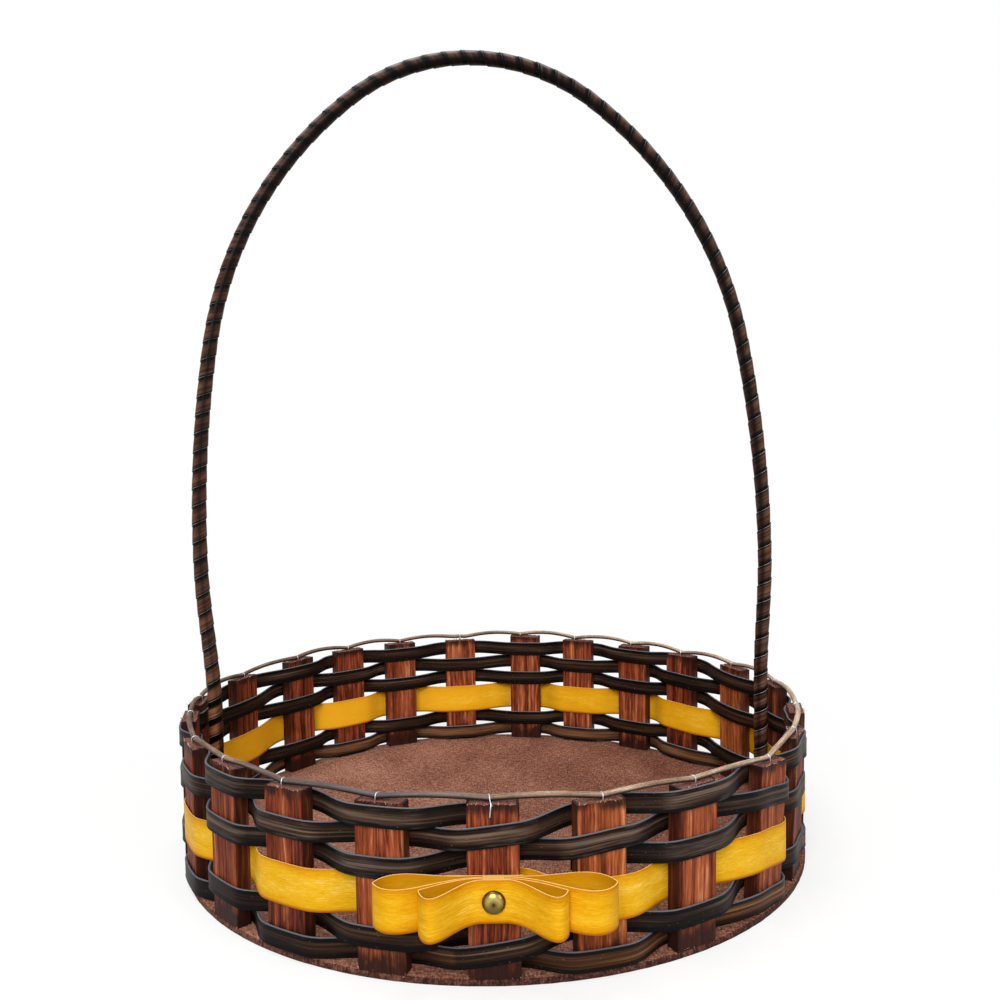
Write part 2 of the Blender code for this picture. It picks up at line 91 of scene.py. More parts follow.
def addPiece(name, verts, faces, materials, nodes=(), marks=None, crisp=40, faceMaterials=None):
    mesh = bpy.data.meshes.new(name)
    mesh.from_pydata([tuple(v) for v in verts], [], faces)
    for markName, values in (marks or {}).items():
        layer = mesh.attributes.new(markName, "FLOAT_VECTOR", "POINT")
        layer.data.foreach_set("vector", [c for value in values for c in value])
    for material in materials:
        mesh.materials.append(material)
    if faceMaterials:
        mesh.polygons.foreach_set("material_index", faceMaterials)
    mesh.shade_smooth()
    mesh.set_sharp_from_angle(angle=math.radians(crisp))
    mesh.update()
    piece = bpy.data.objects.new(name, mesh)
    bpy.context.scene.collection.objects.link(piece)
    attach(piece, "root")
    if nodes:
        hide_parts(*nodes)


def tubeFaces(ringCount, sides, first=0, capped=True):
    faces = []
    for i in range(ringCount - 1):
        low, high = first + i * sides, first + (i + 1) * sides
        for j in range(sides):
            k = (j + 1) % sides
            faces.append((low + j, low + k, high + k, high + j))
    if capped:
        faces.append(tuple(first + j for j in reversed(range(sides))))
        faces.append(tuple(first + (ringCount - 1) * sides + j for j in range(sides)))
    return faces


def smoothLine(points, directions, step):
    # a smooth curve through every point, along its direction where one is given
    marks = [0.0]
    for a, b in zip(points, points[1:]):
        marks.append(marks[-1] + (b - a).length)
    slopes = []
    for i in range(len(points)):
        a, b = max(i - 1, 0), min(i + 1, len(points) - 1)
        if directions[i]:
            slopes.append(directions[i])
            continue
        if a == i or b == i:
            slopes.append((points[b] - points[a]) / (marks[b] - marks[a]))
            continue
        before = (points[i] - points[a]) / (marks[i] - marks[a])
        after = (points[b] - points[i]) / (marks[b] - marks[i])
        share = (marks[i] - marks[a]) / (marks[b] - marks[a])
        slopes.append(before * (1 - share) + after * share)
    line = []
    for i in range(len(points) - 1):
        span = marks[i + 1] - marks[i]
        count = max(1, round(span / step))
        for k in range(count + (i == len(points) - 2)):
            t = k / count
            h1 = 2 * t**3 - 3 * t**2 + 1
            h2 = t**3 - 2 * t**2 + t
            h3 = -2 * t**3 + 3 * t**2
            h4 = t**3 - t**2
            line.append(points[i] * h1 + slopes[i] * (span * h2) + points[i + 1] * h3 + slopes[i + 1] * (span * h4))
    return line


def wave(place, seed):
    # smooth noise from -1 to 1 at a place on a line
    return noise.noise(Vector((place, seed * 7.31, seed * 3.17)))


def ramp(value, start, reach):
    # 0 up to the start, 1 beyond its reach and straight between
    return min(max((value - start) / reach, 0.0), 1.0)


def bell(value, middle, reach, power=2):
    # 1 in the middle, fading out on both sides
    return math.exp(-((value - middle) / reach) ** power)


# Camera at the photograph's viewpoint

cameraView = {
    "right": (0.99989, -0.00198, -0.01493), "upward": (0.01502, 0.05792, 0.99821),
    "back": (-0.00111, -0.99832, 0.05794), "place": (0.00455, -0.57757, 0.22649),
    "lens": 35.874, "sensor": 36.0,
}
cameraData = bpy.data.cameras.new("camera")
cameraData.lens = cameraView["lens"]
cameraData.sensor_width = cameraView["sensor"]
cameraData.clip_start = 0.01
camera = bpy.data.objects.new("camera", cameraData)
columns = [cameraView[key] for key in ("right", "upward", "back", "place")]
camera.matrix_world = Matrix([[column[i] for column in columns] for i in range(3)] + [[0, 0, 0, 1]])
bpy.context.scene.collection.objects.link(camera)
bpy.context.scene.camera = camera


# Studio: a white room seen by the camera, soft lamps and a pale floor

studio = {
    "worldLevel": 0.3,
    "lamps": (  # name, place, size, watts
        ("front softbox", (-0.3, -1.9, 1.3), 1.1, 36.0),
        ("right softbox", (1.5, -1.3, 0.9), 1.0, 9.0),
        ("top softbox", (-0.3, -0.1, 1.9), 1.2, 19.0),
    ),
    "aim": (0.0, 0.0, 0.08),
    "floorColour": "#f6f6f5", "floorBounce": "#a8a8a6",
    "floorGlow": 0.72,  # how much of the floor's white doesn't depend on the lamps
    "glowReach": (0.18, 0.45),  # metres from the middle, over which that share rises to all of it
    "floorRadius": 4.0, "floorSides": 96,
}


def makeStudio():
    scene = bpy.context.scene
    scene.view_settings.view_transform = "Standard"
    world = bpy.data.worlds.new("white studio")
    scene.world = world
    world.use_nodes = True
    tree = world.node_tree
    tree.nodes.clear()
    rays = addNode(tree, "LightPath").outputs
    seen = addNode(tree, "Math", {"operation": "MAXIMUM"}, {0: rays["Is Camera Ray"], 1: rays["Is Glossy Ray"]})
    seen = addNode(tree, "Math", {"operation": "MAXIMUM"}, {0: seen, 1: rays["Is Transmission Ray"]})
    plain = addNode(tree, "Background", {"Color": "#ffffff", "Strength": studio["worldLevel"]})
    white = addNode(tree, "Background", {"Color": "#ffffff", "Strength": 1.0})
    mix = addNode(tree, "MixShader", {}, {0: seen, 1: plain, 2: white})
    addNode(tree, "OutputWorld", {}, {0: mix})
    for name, place, size, watts in studio["lamps"]:
        lamp = bpy.data.lights.new(name, "AREA")
        lamp.shape = "SQUARE"
        lamp.size = size
        lamp.energy = watts
        holder = bpy.data.objects.new(name, lamp)
        holder.location = place
        holder.rotation_euler = (Vector(studio["aim"]) - Vector(place)).to_track_quat("-Z", "Y").to_euler()
        scene.collection.objects.link(holder)


def makeFloor():
    # white painted board: pale and matt, white far off, and it keeps the basket's shadow
    material, tree, shader = newMaterial("white painted floor", {"Roughness": 0.9, "Specular IOR Level": 0.1})
    rays = addNode(tree, "LightPath").outputs
    seen = addNode(tree, "Math", {"operation": "MAXIMUM"}, {0: rays["Is Camera Ray"], 1: rays["Is Glossy Ray"]})
    colours = {"data_type": "RGBA", 6: studio["floorBounce"], 7: studio["floorColour"]}
    linkUp(tree, shader, {"Base Color": addNode(tree, "Mix", colours, {0: seen})})
    place = addNode(tree, "NewGeometry").outputs["Position"]
    away = addNode(tree, "VectorMath", {"operation": "LENGTH"}, {0: place}).outputs["Value"]
    near, far = studio["glowReach"]
    rising = {"From Min": near, "From Max": far, "To Min": studio["floorGlow"], **smooth}
    white = addNode(tree, "MapRange", rising, {"Value": away})
    share = addNode(tree, "Math", {"operation": "MULTIPLY"}, {0: seen, 1: white})
    glow = addNode(tree, "Emission", {"Color": "#ffffff", "Strength": 1.0})
    mix = addNode(tree, "MixShader", {}, {0: share, 1: shader, 2: glow})
    linkUp(tree, tree.nodes["Material Output"], {0: mix})
    radius, sides = studio["floorRadius"], studio["floorSides"]
    angles = [math.tau * i / sides for i in range(sides)]
    mesh = bpy.data.meshes.new("floor")
    verts = [(radius * math.cos(angle), radius * math.sin(angle), 0.0) for angle in angles]
    mesh.from_pydata(verts, [], [tuple(range(sides))])
    mesh.materials.append(material)
    floor = bpy.data.objects.new("floor", mesh)
    bpy.context.scene.collection.objects.link(floor)


makeStudio()
makeFloor()
print("camera, lamps and floor set")


# Materials, each started from the real finish

def grain(*sizes):
    # real sizes in mm along the three axes, as the scale that gives a pattern that size
    return tuple(1000 / size for size in sizes)


def fromTo(ends, unit=1):
    # the settings of a range from one value to another
    return {"From Min": ends[0] * unit, "From Max": ends[1] * unit}


# sizes in mm along the strip, across it and through it; ranges run from where a thing starts to where it is full
darkStripLook = {
    "streak": (70.0, 0.8, 12.0), "line": (30.0, 0.38, 12.0), "cloud": (40.0, 4.0, 12.0),
    "speck": (1.3, 0.5, 12.0), "scuff": (14.0, 1.1, 12.0),
    "shares": {"line": 0.4, "cloud": 0.5}, "wearAndSheenShare": 0.16, "levels": (0.5, 1.28),  # what is added to the streaks
    "sideRange": (0.35, 0.84), "lowerRange": (1.0, -4.0), "beadIn": (0.8, 0.86), "beadOut": (0.88, 0.95),
    "topRange": (0.88, 0.98), "topFrom": 0.5, "scuffRange": (0.46, 0.7), "wornRange": (0.73, 0.82),
    "plain": ((0.05, "#070505"), (0.45, "#18110e"), (0.75, "#3a2c24"), (0.98, "#66574d")),
    "brown": ((0.05, "#150c06"), (0.45, "#4a2e1c"), (0.75, "#7a5337"), (0.98, "#9a7655")),
    "bead": "#0b0b0b", "beadShare": 0.45, "topHighlight": "#8b8e96", "topShare": 0.5, "seamAndShade": "#050404",
    "worn": "#8b8078", "wornShare": 0.6, "scuffAndSheen": "#6c645e", "scuffShare": 0.3, "darkEnd": 0.5, "lowerEnd": 0.2,
    "roughness": (0.34, 0.62), "shine": 0.07, "beadShine": 0.03, "shineRange": (0.82, 0.95), "lineDepth": 0.05,
}
# the handle's strip is browner and glossier, with a painted highlight line at its lapped edge
wrapLook = dict(
    darkStripLook, line=(14.0, 0.5, 12.0), streak=(60.0, 1.6, 12.0),
    plain=((0.05, "#110a08"), (0.45, "#38261f"), (0.75, "#60463b"), (0.98, "#84695d")),
    brown=((0.05, "#4a2814"), (0.45, "#8f5535"), (0.75, "#b0744c"), (0.98, "#cd9a72")),
    bead="#b4b6bb", beadShare=0.62, topShare=0.0, darkEnd=0.2, lowerEnd=0.0,
    roughness=(0.18, 0.46), shine=0.06, beadShine=0.14,
)


def darkStripMaterial(name, look):
    # extruded polypropylene strip, dyed dark brown: satin, streaked along its middle, near black at its raised edges
    material, tree, shader = newMaterial(name, {"Specular IOR Level": look["shine"]})
    place, form, wearAndLight = [addNode(tree, "Attribute", {"attribute_name": mark}).outputs["Vector"]
                         for mark in ("stripPlace", "stripForm", "stripWear")]
    across = addNode(tree, "SeparateXYZ", {}, {0: place}).outputs["Y"]
    edge, _, brownShare = addNode(tree, "SeparateXYZ", {}, {0: form}).outputs
    wearAndSheen, seamAndShade, sheen = addNode(tree, "SeparateXYZ", {}, {0: wearAndLight}).outputs
    patterns = {}
    for key, detail in (("streak", 3.0), ("line", 2.0), ("cloud", 2.0), ("speck", 1.0), ("scuff", 4.0)):
        scaled = addNode(tree, "VectorMath", {"operation": "MULTIPLY", 1: grain(*look[key])}, {0: place})
        patterns[key] = addNode(tree, "TexNoise", {"Scale": 1.0, "Detail": detail}, {"Vector": scaled})
    level = patterns["streak"]
    for key, share in look["shares"].items():
        level = addNode(tree, "Math", {"operation": "MULTIPLY_ADD", 1: share}, {0: patterns[key], 2: level})
    sides = {**fromTo(look["sideRange"]), "To Max": look["darkEnd"], **smooth}
    lower = {**fromTo(look["lowerRange"], mm), "To Max": look["lowerEnd"]}
    for settings, source in ((sides, edge), (lower, across)):
        darker = addNode(tree, "MapRange", settings, {"Value": source})
        level = addNode(tree, "Math", {"operation": "SUBTRACT"}, {0: level, 1: darker})
    # paler with wear and with the painted sheen on the weavers, darker at the handle's crown
    level = addNode(tree, "Math", {"operation": "MULTIPLY_ADD", 1: look["wearAndSheenShare"]}, {0: wearAndSheen, 2: level})
    level = addNode(tree, "MapRange", fromTo(look["levels"]), {"Value": level})
    plain = addNode(tree, "ValToRGB", {"stops": look["plain"]}, {0: level})
    brown = addNode(tree, "ValToRGB", {"stops": look["brown"]}, {0: level})
    mix = addNode(tree, "Mix", {"data_type": "RGBA"}, {0: brownShare, 6: plain, 7: brown})
    # a line at the bead near each edge, and a painted grey highlight along the top edge
    # on the handle's strip the bead line is pale: a painted highlight on its raised edge
    beadIn = addNode(tree, "MapRange", {**fromTo(look["beadIn"]), **smooth}, {"Value": edge})
    fade = {**fromTo(look["beadOut"]), "To Min": look["beadShare"], "To Max": 0.0, **smooth}
    beadOut = addNode(tree, "MapRange", fade, {"Value": edge})
    bead = addNode(tree, "Math", {"operation": "MULTIPLY"}, {0: beadIn, 1: beadOut})
    upwards = {"From Max": look["topFrom"] * mm, "To Max": look["topShare"]}
    onTop = addNode(tree, "MapRange", upwards, {"Value": across})
    topHighlight = addNode(tree, "MapRange", {**fromTo(look["topRange"]), **smooth}, {"Value": edge})
    topHighlight = addNode(tree, "Math", {"operation": "MULTIPLY"}, {0: topHighlight, 1: onTop})
    # grey scuffs with a painted sheen where the strip stands proud
    scuffs = {**fromTo(look["scuffRange"]), "To Max": look["scuffShare"], **smooth}
    scuff = addNode(tree, "MapRange", scuffs, {"Value": patterns["scuff"]})
    scuff = addNode(tree, "Math", {"operation": "MULTIPLY"}, {0: scuff, 1: wearAndSheen})
    specks = {**fromTo(look["wornRange"]), "To Max": look["wornShare"]}
    worn = addNode(tree, "MapRange", specks, {"Value": patterns["speck"]})
    # then the painted sheen, the seam with its painted shade, and worn specks
    layers = ((bead, "bead"), (topHighlight, "topHighlight"), (scuff, "scuffAndSheen"),
              (sheen, "topHighlight"), (seamAndShade, "seamAndShade"), (worn, "worn"))
    for share, key in layers:
        mix = addNode(tree, "Mix", {"data_type": "RGBA", 7: look[key]}, {0: share, 6: mix})
    low, high = look["roughness"]
    rough = addNode(tree, "MapRange", {"To Min": low, "To Max": high}, {"Value": patterns["cloud"]})
    gloss = {**fromTo(look["shineRange"]), "To Min": look["shine"], "To Max": look["beadShine"]}
    shine = addNode(tree, "MapRange", gloss, {"Value": edge})
    bump = addNode(tree, "Bump", {"Strength": 0.6, "Distance": look["lineDepth"] * mm}, {"Height": patterns["line"]})
    linkUp(tree, shader, {"Base Color": mix, "Roughness": rough, "Specular IOR Level": shine, "Normal": bump})
    return material


# sizes in mm as above; the real lines are a little finer
yellowStripLook = {
    "line": (6.5, 0.3, 12.0), "fleck": (2.2, 0.5, 12.0), "cloud": (26.0, 6.0, 12.0),
    "shares": {"fleck": 0.45, "cloud": 0.6}, "wearAndSheenShare": 0.2, "levels": (0.5, 1.4),  # what is added to the lines
    "sideRange": (0.35, 1.0), "edgeRange": (0.8, 0.99), "cutRange": (1.0, 1.08),
    "stops": ((0.0, "#c98303"), (0.3, "#dd9905"), (0.55, "#e8aa0c"), (0.78, "#f2bb27"), (1.0, "#fcd66a")),
    "inside": "#bd8106", "insideShare": 0.6, "sideShare": 0.3,
    "edge": "#ad5e02", "lowEdgeShare": 0.95, "topEdgeShare": 0.5, "cut": "#ffdf8d",
    "roughness": (0.38, 0.62), "shine": 0.1, "lineDepth": 0.06,
}
# painted light: the band's inner face lighter and warmer, where less light reaches it
bandLook = dict(yellowStripLook, inside="#ffb822", insideShare=1.0)  # inside the wall the band looks warmer


def yellowStripMaterial(name, look):
    # brushed polypropylene band: satin, with fine lengthwise lines, browner towards its cut edges
    material, tree, shader = newMaterial(name, {"Specular IOR Level": look["shine"]})
    place, form, wearAndLight = [addNode(tree, "Attribute", {"attribute_name": mark}).outputs["Vector"]
                         for mark in ("stripPlace", "stripForm", "stripWear")]
    across = addNode(tree, "SeparateXYZ", {}, {0: place}).outputs["Y"]
    edge, face, warmth = addNode(tree, "SeparateXYZ", {}, {0: form}).outputs
    wearAndSheen = addNode(tree, "SeparateXYZ", {}, {0: wearAndLight}).outputs["X"]
    patterns = {}
    for key, detail in (("line", 3.0), ("fleck", 2.0), ("cloud", 2.0)):
        scaled = addNode(tree, "VectorMath", {"operation": "MULTIPLY", 1: grain(*look[key])}, {0: place})
        patterns[key] = addNode(tree, "TexNoise", {"Scale": 1.0, "Detail": detail}, {"Vector": scaled})
    level = patterns["line"]
    for key, share in look["shares"].items():
        level = addNode(tree, "Math", {"operation": "MULTIPLY_ADD", 1: share}, {0: patterns[key], 2: level})
    sides = {**fromTo(look["sideRange"]), "To Max": look["sideShare"], **smooth}
    sides = addNode(tree, "MapRange", sides, {"Value": edge})
    level = addNode(tree, "Math", {"operation": "SUBTRACT"}, {0: level, 1: sides})
    level = addNode(tree, "Math", {"operation": "MULTIPLY_ADD", 1: look["wearAndSheenShare"]}, {0: wearAndSheen, 2: level})
    level = addNode(tree, "MapRange", fromTo(look["levels"]), {"Value": level})
    mix = addNode(tree, "ValToRGB", {"stops": look["stops"]}, {0: level})
    # the inner face takes the inside colour: on the bow loops a duller back with painted shade, on the band painted
    # light
    inside = {**fromTo((1.0, -1.0)), "To Max": look["insideShare"]}  # from the outer face to the inner one
    inside = addNode(tree, "MapRange", inside, {"Value": face})
    inside = addNode(tree, "Math", {"operation": "MULTIPLY"}, {0: inside, 1: warmth})
    # a brown line near each edge, stronger at the lower one, and a pale cut edge
    ends = {**fromTo((-1.0, 1.0), mm), "To Min": look["lowEdgeShare"], "To Max": look["topEdgeShare"]}
    strength = addNode(tree, "MapRange", ends, {"Value": across})
    line = addNode(tree, "MapRange", {**fromTo(look["edgeRange"]), **smooth}, {"Value": edge})
    line = addNode(tree, "Math", {"operation": "MULTIPLY"}, {0: line, 1: strength})
    cut = addNode(tree, "MapRange", fromTo(look["cutRange"]), {"Value": edge})
    for share, key in ((inside, "inside"), (line, "edge"), (cut, "cut")):
        mix = addNode(tree, "Mix", {"data_type": "RGBA", 7: look[key]}, {0: share, 6: mix})
    low, high = look["roughness"]
    rough = addNode(tree, "MapRange", {"To Min": low, "To Max": high}, {"Value": patterns["line"]})
    bump = addNode(tree, "Bump", {"Strength": 0.7, "Distance": look["lineDepth"] * mm}, {"Height": patterns["line"]})
    linkUp(tree, shader, {"Base Color": mix, "Roughness": rough, "Normal": bump})
    return material


slatLook = {
    # mm across the slat, through it and along it
    "band": (3.2, 3.2, 150.0), "streak": (1.05, 1.05, 70.0), "fibre": (0.45, 0.45, 7.0), "blot": (4.5, 4.5, 11.0),
    "warp": (16.0, 16.0, 26.0), "warpReach": 3.2,
    "shares": {"streak": 1.0, "fibre": 0.5}, "toneShare": 0.22, "levels": (0.9, 1.64),  # what is added to the bands
    "goldRange": (0.12, 0.6), "stainRange": (0.62, 1.1), "tornRange": (0.42, 0.68),
    "endRange": (1.1, 1.5), "splinterRange": (1.8, 2.0),
    "stops": ((0.0, "#230903"), (0.25, "#541e0c"), (0.5, "#823a1f"), (0.75, "#a95a36"), (1.0, "#cf8a60")),
    # side is a painted shade on the slat's side faces
    "gold": "#bd6f1c", "goldShare": 0.85, "stain": "#1f0a06", "stainShare": 0.94, "side": "#26110b", "sideShare": 0.72,
    "end": "#5f2c20", "endPale": "#b08072", "endShare": 0.8, "splinter": "#d0aa9a",
    "roughness": (0.43, 0.78), "shine": 0.14, "fibreDepth": 0.22,
}


def slatMaterial(look):
    # rough sawn pine, dipped in a thin reddish stain: dark in the soft grain and at the ends, paler on the hard grain;
    # its side faces carry painted shade
    material, tree, shader = newMaterial("stained rough sawn pine", {"Specular IOR Level": look["shine"]})
    place, form = [addNode(tree, "Attribute", {"attribute_name": mark}).outputs["Vector"]
                   for mark in ("woodPlace", "woodForm")]
    ends, tone, sideShade = addNode(tree, "SeparateXYZ", {}, {0: form}).outputs
    scaled = addNode(tree, "VectorMath", {"operation": "MULTIPLY", 1: grain(*look["warp"])}, {0: place})
    warp = addNode(tree, "TexNoise", {"Scale": 1.0, "Detail": 1.0}, {"Vector": scaled}).outputs["Color"]
    reach = look["warpReach"] * mm
    warped = addNode(tree, "VectorMath", {"operation": "MULTIPLY_ADD", 1: (reach, reach, 0.0)}, {0: warp, 2: place})
    patterns = {}
    grains = (("band", 2.0, warped), ("streak", 3.0, warped), ("fibre", 2.0, place), ("blot", 3.0, place))
    for key, detail, source in grains:
        scaled = addNode(tree, "VectorMath", {"operation": "MULTIPLY", 1: grain(*look[key])}, {0: source})
        patterns[key] = addNode(tree, "TexNoise", {"Scale": 1.0, "Detail": detail}, {"Vector": scaled})
    height = patterns["band"]
    for key, share in look["shares"].items():
        height = addNode(tree, "Math", {"operation": "MULTIPLY_ADD", 1: share}, {0: patterns[key], 2: height})
    level = addNode(tree, "Math", {"operation": "MULTIPLY_ADD", 1: look["toneShare"]}, {0: tone, 2: height})
    level = addNode(tree, "MapRange", fromTo(look["levels"]), {"Value": level})
    mix = addNode(tree, "ValToRGB", {"stops": look["stops"]}, {0: level})
    gold = addNode(tree, "Math", {"operation": "MULTIPLY"}, {0: patterns["blot"], 1: tone})
    gold = addNode(tree, "MapRange", {**fromTo(look["goldRange"]), "To Max": look["goldShare"]}, {"Value": gold})
    stain = addNode(tree, "Math", {"operation": "ADD"}, {0: patterns["blot"], 1: ends})
    soaked = {**fromTo(look["stainRange"]), "To Max": look["stainShare"], **smooth}
    stain = addNode(tree, "MapRange", soaked, {"Value": stain})
    # painted shade on the side faces
    side = addNode(tree, "Math", {"operation": "MULTIPLY", 1: look["sideShare"]}, {0: sideShade})
    for share, key in ((gold, "gold"), (stain, "stain"), (side, "side")):
        mix = addNode(tree, "Mix", {"data_type": "RGBA", 7: look[key]}, {0: share, 6: mix})
    torn = addNode(tree, "MapRange", fromTo(look["tornRange"]), {"Value": patterns["fibre"]})
    endGrain = addNode(tree, "Mix", {"data_type": "RGBA", 6: look["end"], 7: look["endPale"]}, {0: torn})
    share = addNode(tree, "MapRange", {**fromTo(look["endRange"]), "To Max": look["endShare"]}, {"Value": ends})
    mix = addNode(tree, "Mix", {"data_type": "RGBA"}, {0: share, 6: mix, 7: endGrain})
    share = addNode(tree, "MapRange", fromTo(look["splinterRange"]), {"Value": ends})
    mix = addNode(tree, "Mix", {"data_type": "RGBA", 7: look["splinter"]}, {0: share, 6: mix})
    low, high = look["roughness"]
    rough = addNode(tree, "MapRange", {"To Min": low, "To Max": high}, {"Value": patterns["fibre"]})
    bump = addNode(tree, "Bump", {"Strength": 0.9, "Distance": look["fibreDepth"] * mm}, {"Height": height})
    linkUp(tree, shader, {"Base Color": mix, "Roughness": rough, "Normal": bump})
    return material


boardLook = {
    # mm along the three axes
    "alongFibre": (4.2, 0.8, 3.0), "acrossFibre": (0.9, 3.0, 3.0),
    "speck": (0.9, 0.9, 0.9), "cloud": (40.0, 55.0, 55.0),
    "speckShare": 0.9, "cloudShare": 0.5, "levels": (1.36, 2.04),  # what is added to the fibres
    "stops": ((0.02, "#472720"), (0.35, "#6f4334"), (0.6, "#8c5c49"), (0.98, "#b48570")),
    "edgeStops": ((0.1, "#241210"), (0.5, "#4a2a21"), (0.95, "#7a5143")),
    # painted shade: the board darker towards +x
    "darkening": 0.7,  # towards +x, for each metre
    "roughness": (0.68, 0.88), "shine": 0.15, "fibreDepth": 0.09, "sawnDepth": 0.27,
}


def boardMaterial(look, sawn):
    # hardboard of pressed wood fibre: matt and mottled, darker and rougher where it is sawn
    name = "sawn hardboard edge" if sawn else "pressed hardboard face"
    material, tree, shader = newMaterial(name, {"Specular IOR Level": look["shine"]})
    place = addNode(tree, "TexCoord").outputs["Object"]
    patterns = {}
    for key in ("alongFibre", "acrossFibre", "speck", "cloud"):
        scaled = addNode(tree, "VectorMath", {"operation": "MULTIPLY", 1: grain(*look[key])}, {0: place})
        patterns[key] = addNode(tree, "TexNoise", {"Scale": 1.0, "Detail": 3.0}, {"Vector": scaled})
    fibres = addNode(tree, "Math", {"operation": "ADD"}, {0: patterns["alongFibre"], 1: patterns["acrossFibre"]})
    specked = {"operation": "MULTIPLY_ADD", 1: look["speckShare"]}
    fibres = addNode(tree, "Math", specked, {0: patterns["speck"], 2: fibres})
    clouded = {"operation": "MULTIPLY_ADD", 1: look["cloudShare"]}
    level = addNode(tree, "Math", clouded, {0: patterns["cloud"], 2: fibres})
    # painted shade, darker towards +x
    rightwards = addNode(tree, "SeparateXYZ", {}, {0: place}).outputs["X"]
    level = addNode(tree, "Math", {"operation": "MULTIPLY_ADD", 1: -look["darkening"]}, {0: rightwards, 2: level})
    level = addNode(tree, "MapRange", fromTo(look["levels"]), {"Value": level})
    base = addNode(tree, "ValToRGB", {"stops": look["edgeStops" if sawn else "stops"]}, {0: level})
    low, high = look["roughness"]
    rough = addNode(tree, "MapRange", {"To Min": low, "To Max": high}, {"Value": patterns["speck"]})
    depth = look["sawnDepth" if sawn else "fibreDepth"] * mm
    bump = addNode(tree, "Bump", {"Strength": 0.8, "Distance": depth}, {"Height": fibres})
    linkUp(tree, shader, {"Base Color": base, "Roughness": rough, "Normal": bump})
    return material


cordLook = {
    "fibre": (16.0, 0.5, 12.0), "patch": (20.0, 6.0, 12.0), "fleck": (1.6, 0.5, 12.0),  # mm along the cord and round it
    "shares": {"patch": 0.6, "fleck": 0.5}, "levels": (0.6, 1.5),  # what is added to the fibres
    "stops": ((0.05, "#35271e"), (0.35, "#6d5544"), (0.65, "#a38771"), (0.97, "#dcc7ad")),
    # under is a painted shade on the cord's underside
    "slate": "#454a53", "under": "#17100c",
    "roughness": (0.43, 0.67), "shine": 0.25, "fibreDepth": 0.12,
}


def cordMaterial(look):
    # thin round cane, stained and waxed: lengthwise fibres, with painted shade on its underside
    material, tree, shader = newMaterial("waxed round cane", {"Specular IOR Level": look["shine"]})
    place, form = [addNode(tree, "Attribute", {"attribute_name": mark}).outputs["Vector"]
                   for mark in ("stripPlace", "stripForm")]
    under, slate, shade = addNode(tree, "SeparateXYZ", {}, {0: form}).outputs
    patterns = {}
    for key, detail in (("fibre", 3.0), ("patch", 2.0), ("fleck", 2.0)):
        scaled = addNode(tree, "VectorMath", {"operation": "MULTIPLY", 1: grain(*look[key])}, {0: place})
        patterns[key] = addNode(tree, "TexNoise", {"Scale": 1.0, "Detail": detail}, {"Vector": scaled})
    level = patterns["fibre"]
    for key, share in look["shares"].items():
        level = addNode(tree, "Math", {"operation": "MULTIPLY_ADD", 1: share}, {0: patterns[key], 2: level})
    level = addNode(tree, "Math", {"operation": "ADD"}, {0: level, 1: shade})
    level = addNode(tree, "MapRange", fromTo(look["levels"]), {"Value": level})
    mix = addNode(tree, "ValToRGB", {"stops": look["stops"]}, {0: level})
    for share, key in ((slate, "slate"), (under, "under")):
        mix = addNode(tree, "Mix", {"data_type": "RGBA", 7: look[key]}, {0: share, 6: mix})
    low, high = look["roughness"]
    rough = addNode(tree, "MapRange", {"To Min": low, "To Max": high}, {"Value": patterns["fibre"]})
    bump = addNode(tree, "Bump", {"Strength": 0.8, "Distance": look["fibreDepth"] * mm}, {"Height": patterns["fibre"]})
    linkUp(tree, shader, {"Base Color": mix, "Roughness": rough, "Normal": bump})
    return material


metalLooks = {  # patches in mm
    "galvanised staple wire": {
        "base": "#c3c6c9", "dull": "#8e9093", "roughness": (0.24, 0.46), "patch": 2.0, "levels": (0.45, 0.75)},
    "bright nail steel": {
        "base": "#b4b6b8", "dull": "#77787a", "roughness": (0.3, 0.52), "patch": 1.5, "levels": (0.45, 0.75)},
}


def metalMaterial(name):
    # drawn wire and cold headed nails: bright, with duller patches where they have been handled
    look = metalLooks[name]
    material, tree, shader = newMaterial(name, {"Metallic": 1.0})
    place = addNode(tree, "TexCoord").outputs["Object"]
    scaled = addNode(tree, "VectorMath", {"operation": "SCALE", "Scale": 1000 / look["patch"]}, {0: place})
    patches = addNode(tree, "TexNoise", {"Scale": 1.0, "Detail": 4.0}, {"Vector": scaled})
    level = addNode(tree, "MapRange", fromTo(look["levels"]), {"Value": patches})
    mix = addNode(tree, "Mix", {"data_type": "RGBA", 6: look["base"], 7: look["dull"]}, {0: level})
    low, high = look["roughness"]
    rough = addNode(tree, "MapRange", {"To Min": low, "To Max": high}, {"Value": patches})
    linkUp(tree, shader, {"Base Color": mix, "Roughness": rough})
    return material


brassLook = {
    # painted reflection and highlight: dark at the crown, bright on the shoulder
    "stops": ((0.0, "#33270f"), (0.1, "#4d3d1c"), (0.24, "#9a8548"), (0.5, "#c0ad68"),
              (0.74, "#a48f4c"), (0.9, "#6b5424"), (1.0, "#46331a")),  # from the crown to the rim
    "speck": 0.9, "speckShare": 0.2,  # mm
    "low": "#473412", "lowShare": 0.78, "lowRange": (0.45, -0.5),  # of the head's radius, from its middle
    "roughness": (0.12, 0.36),
}


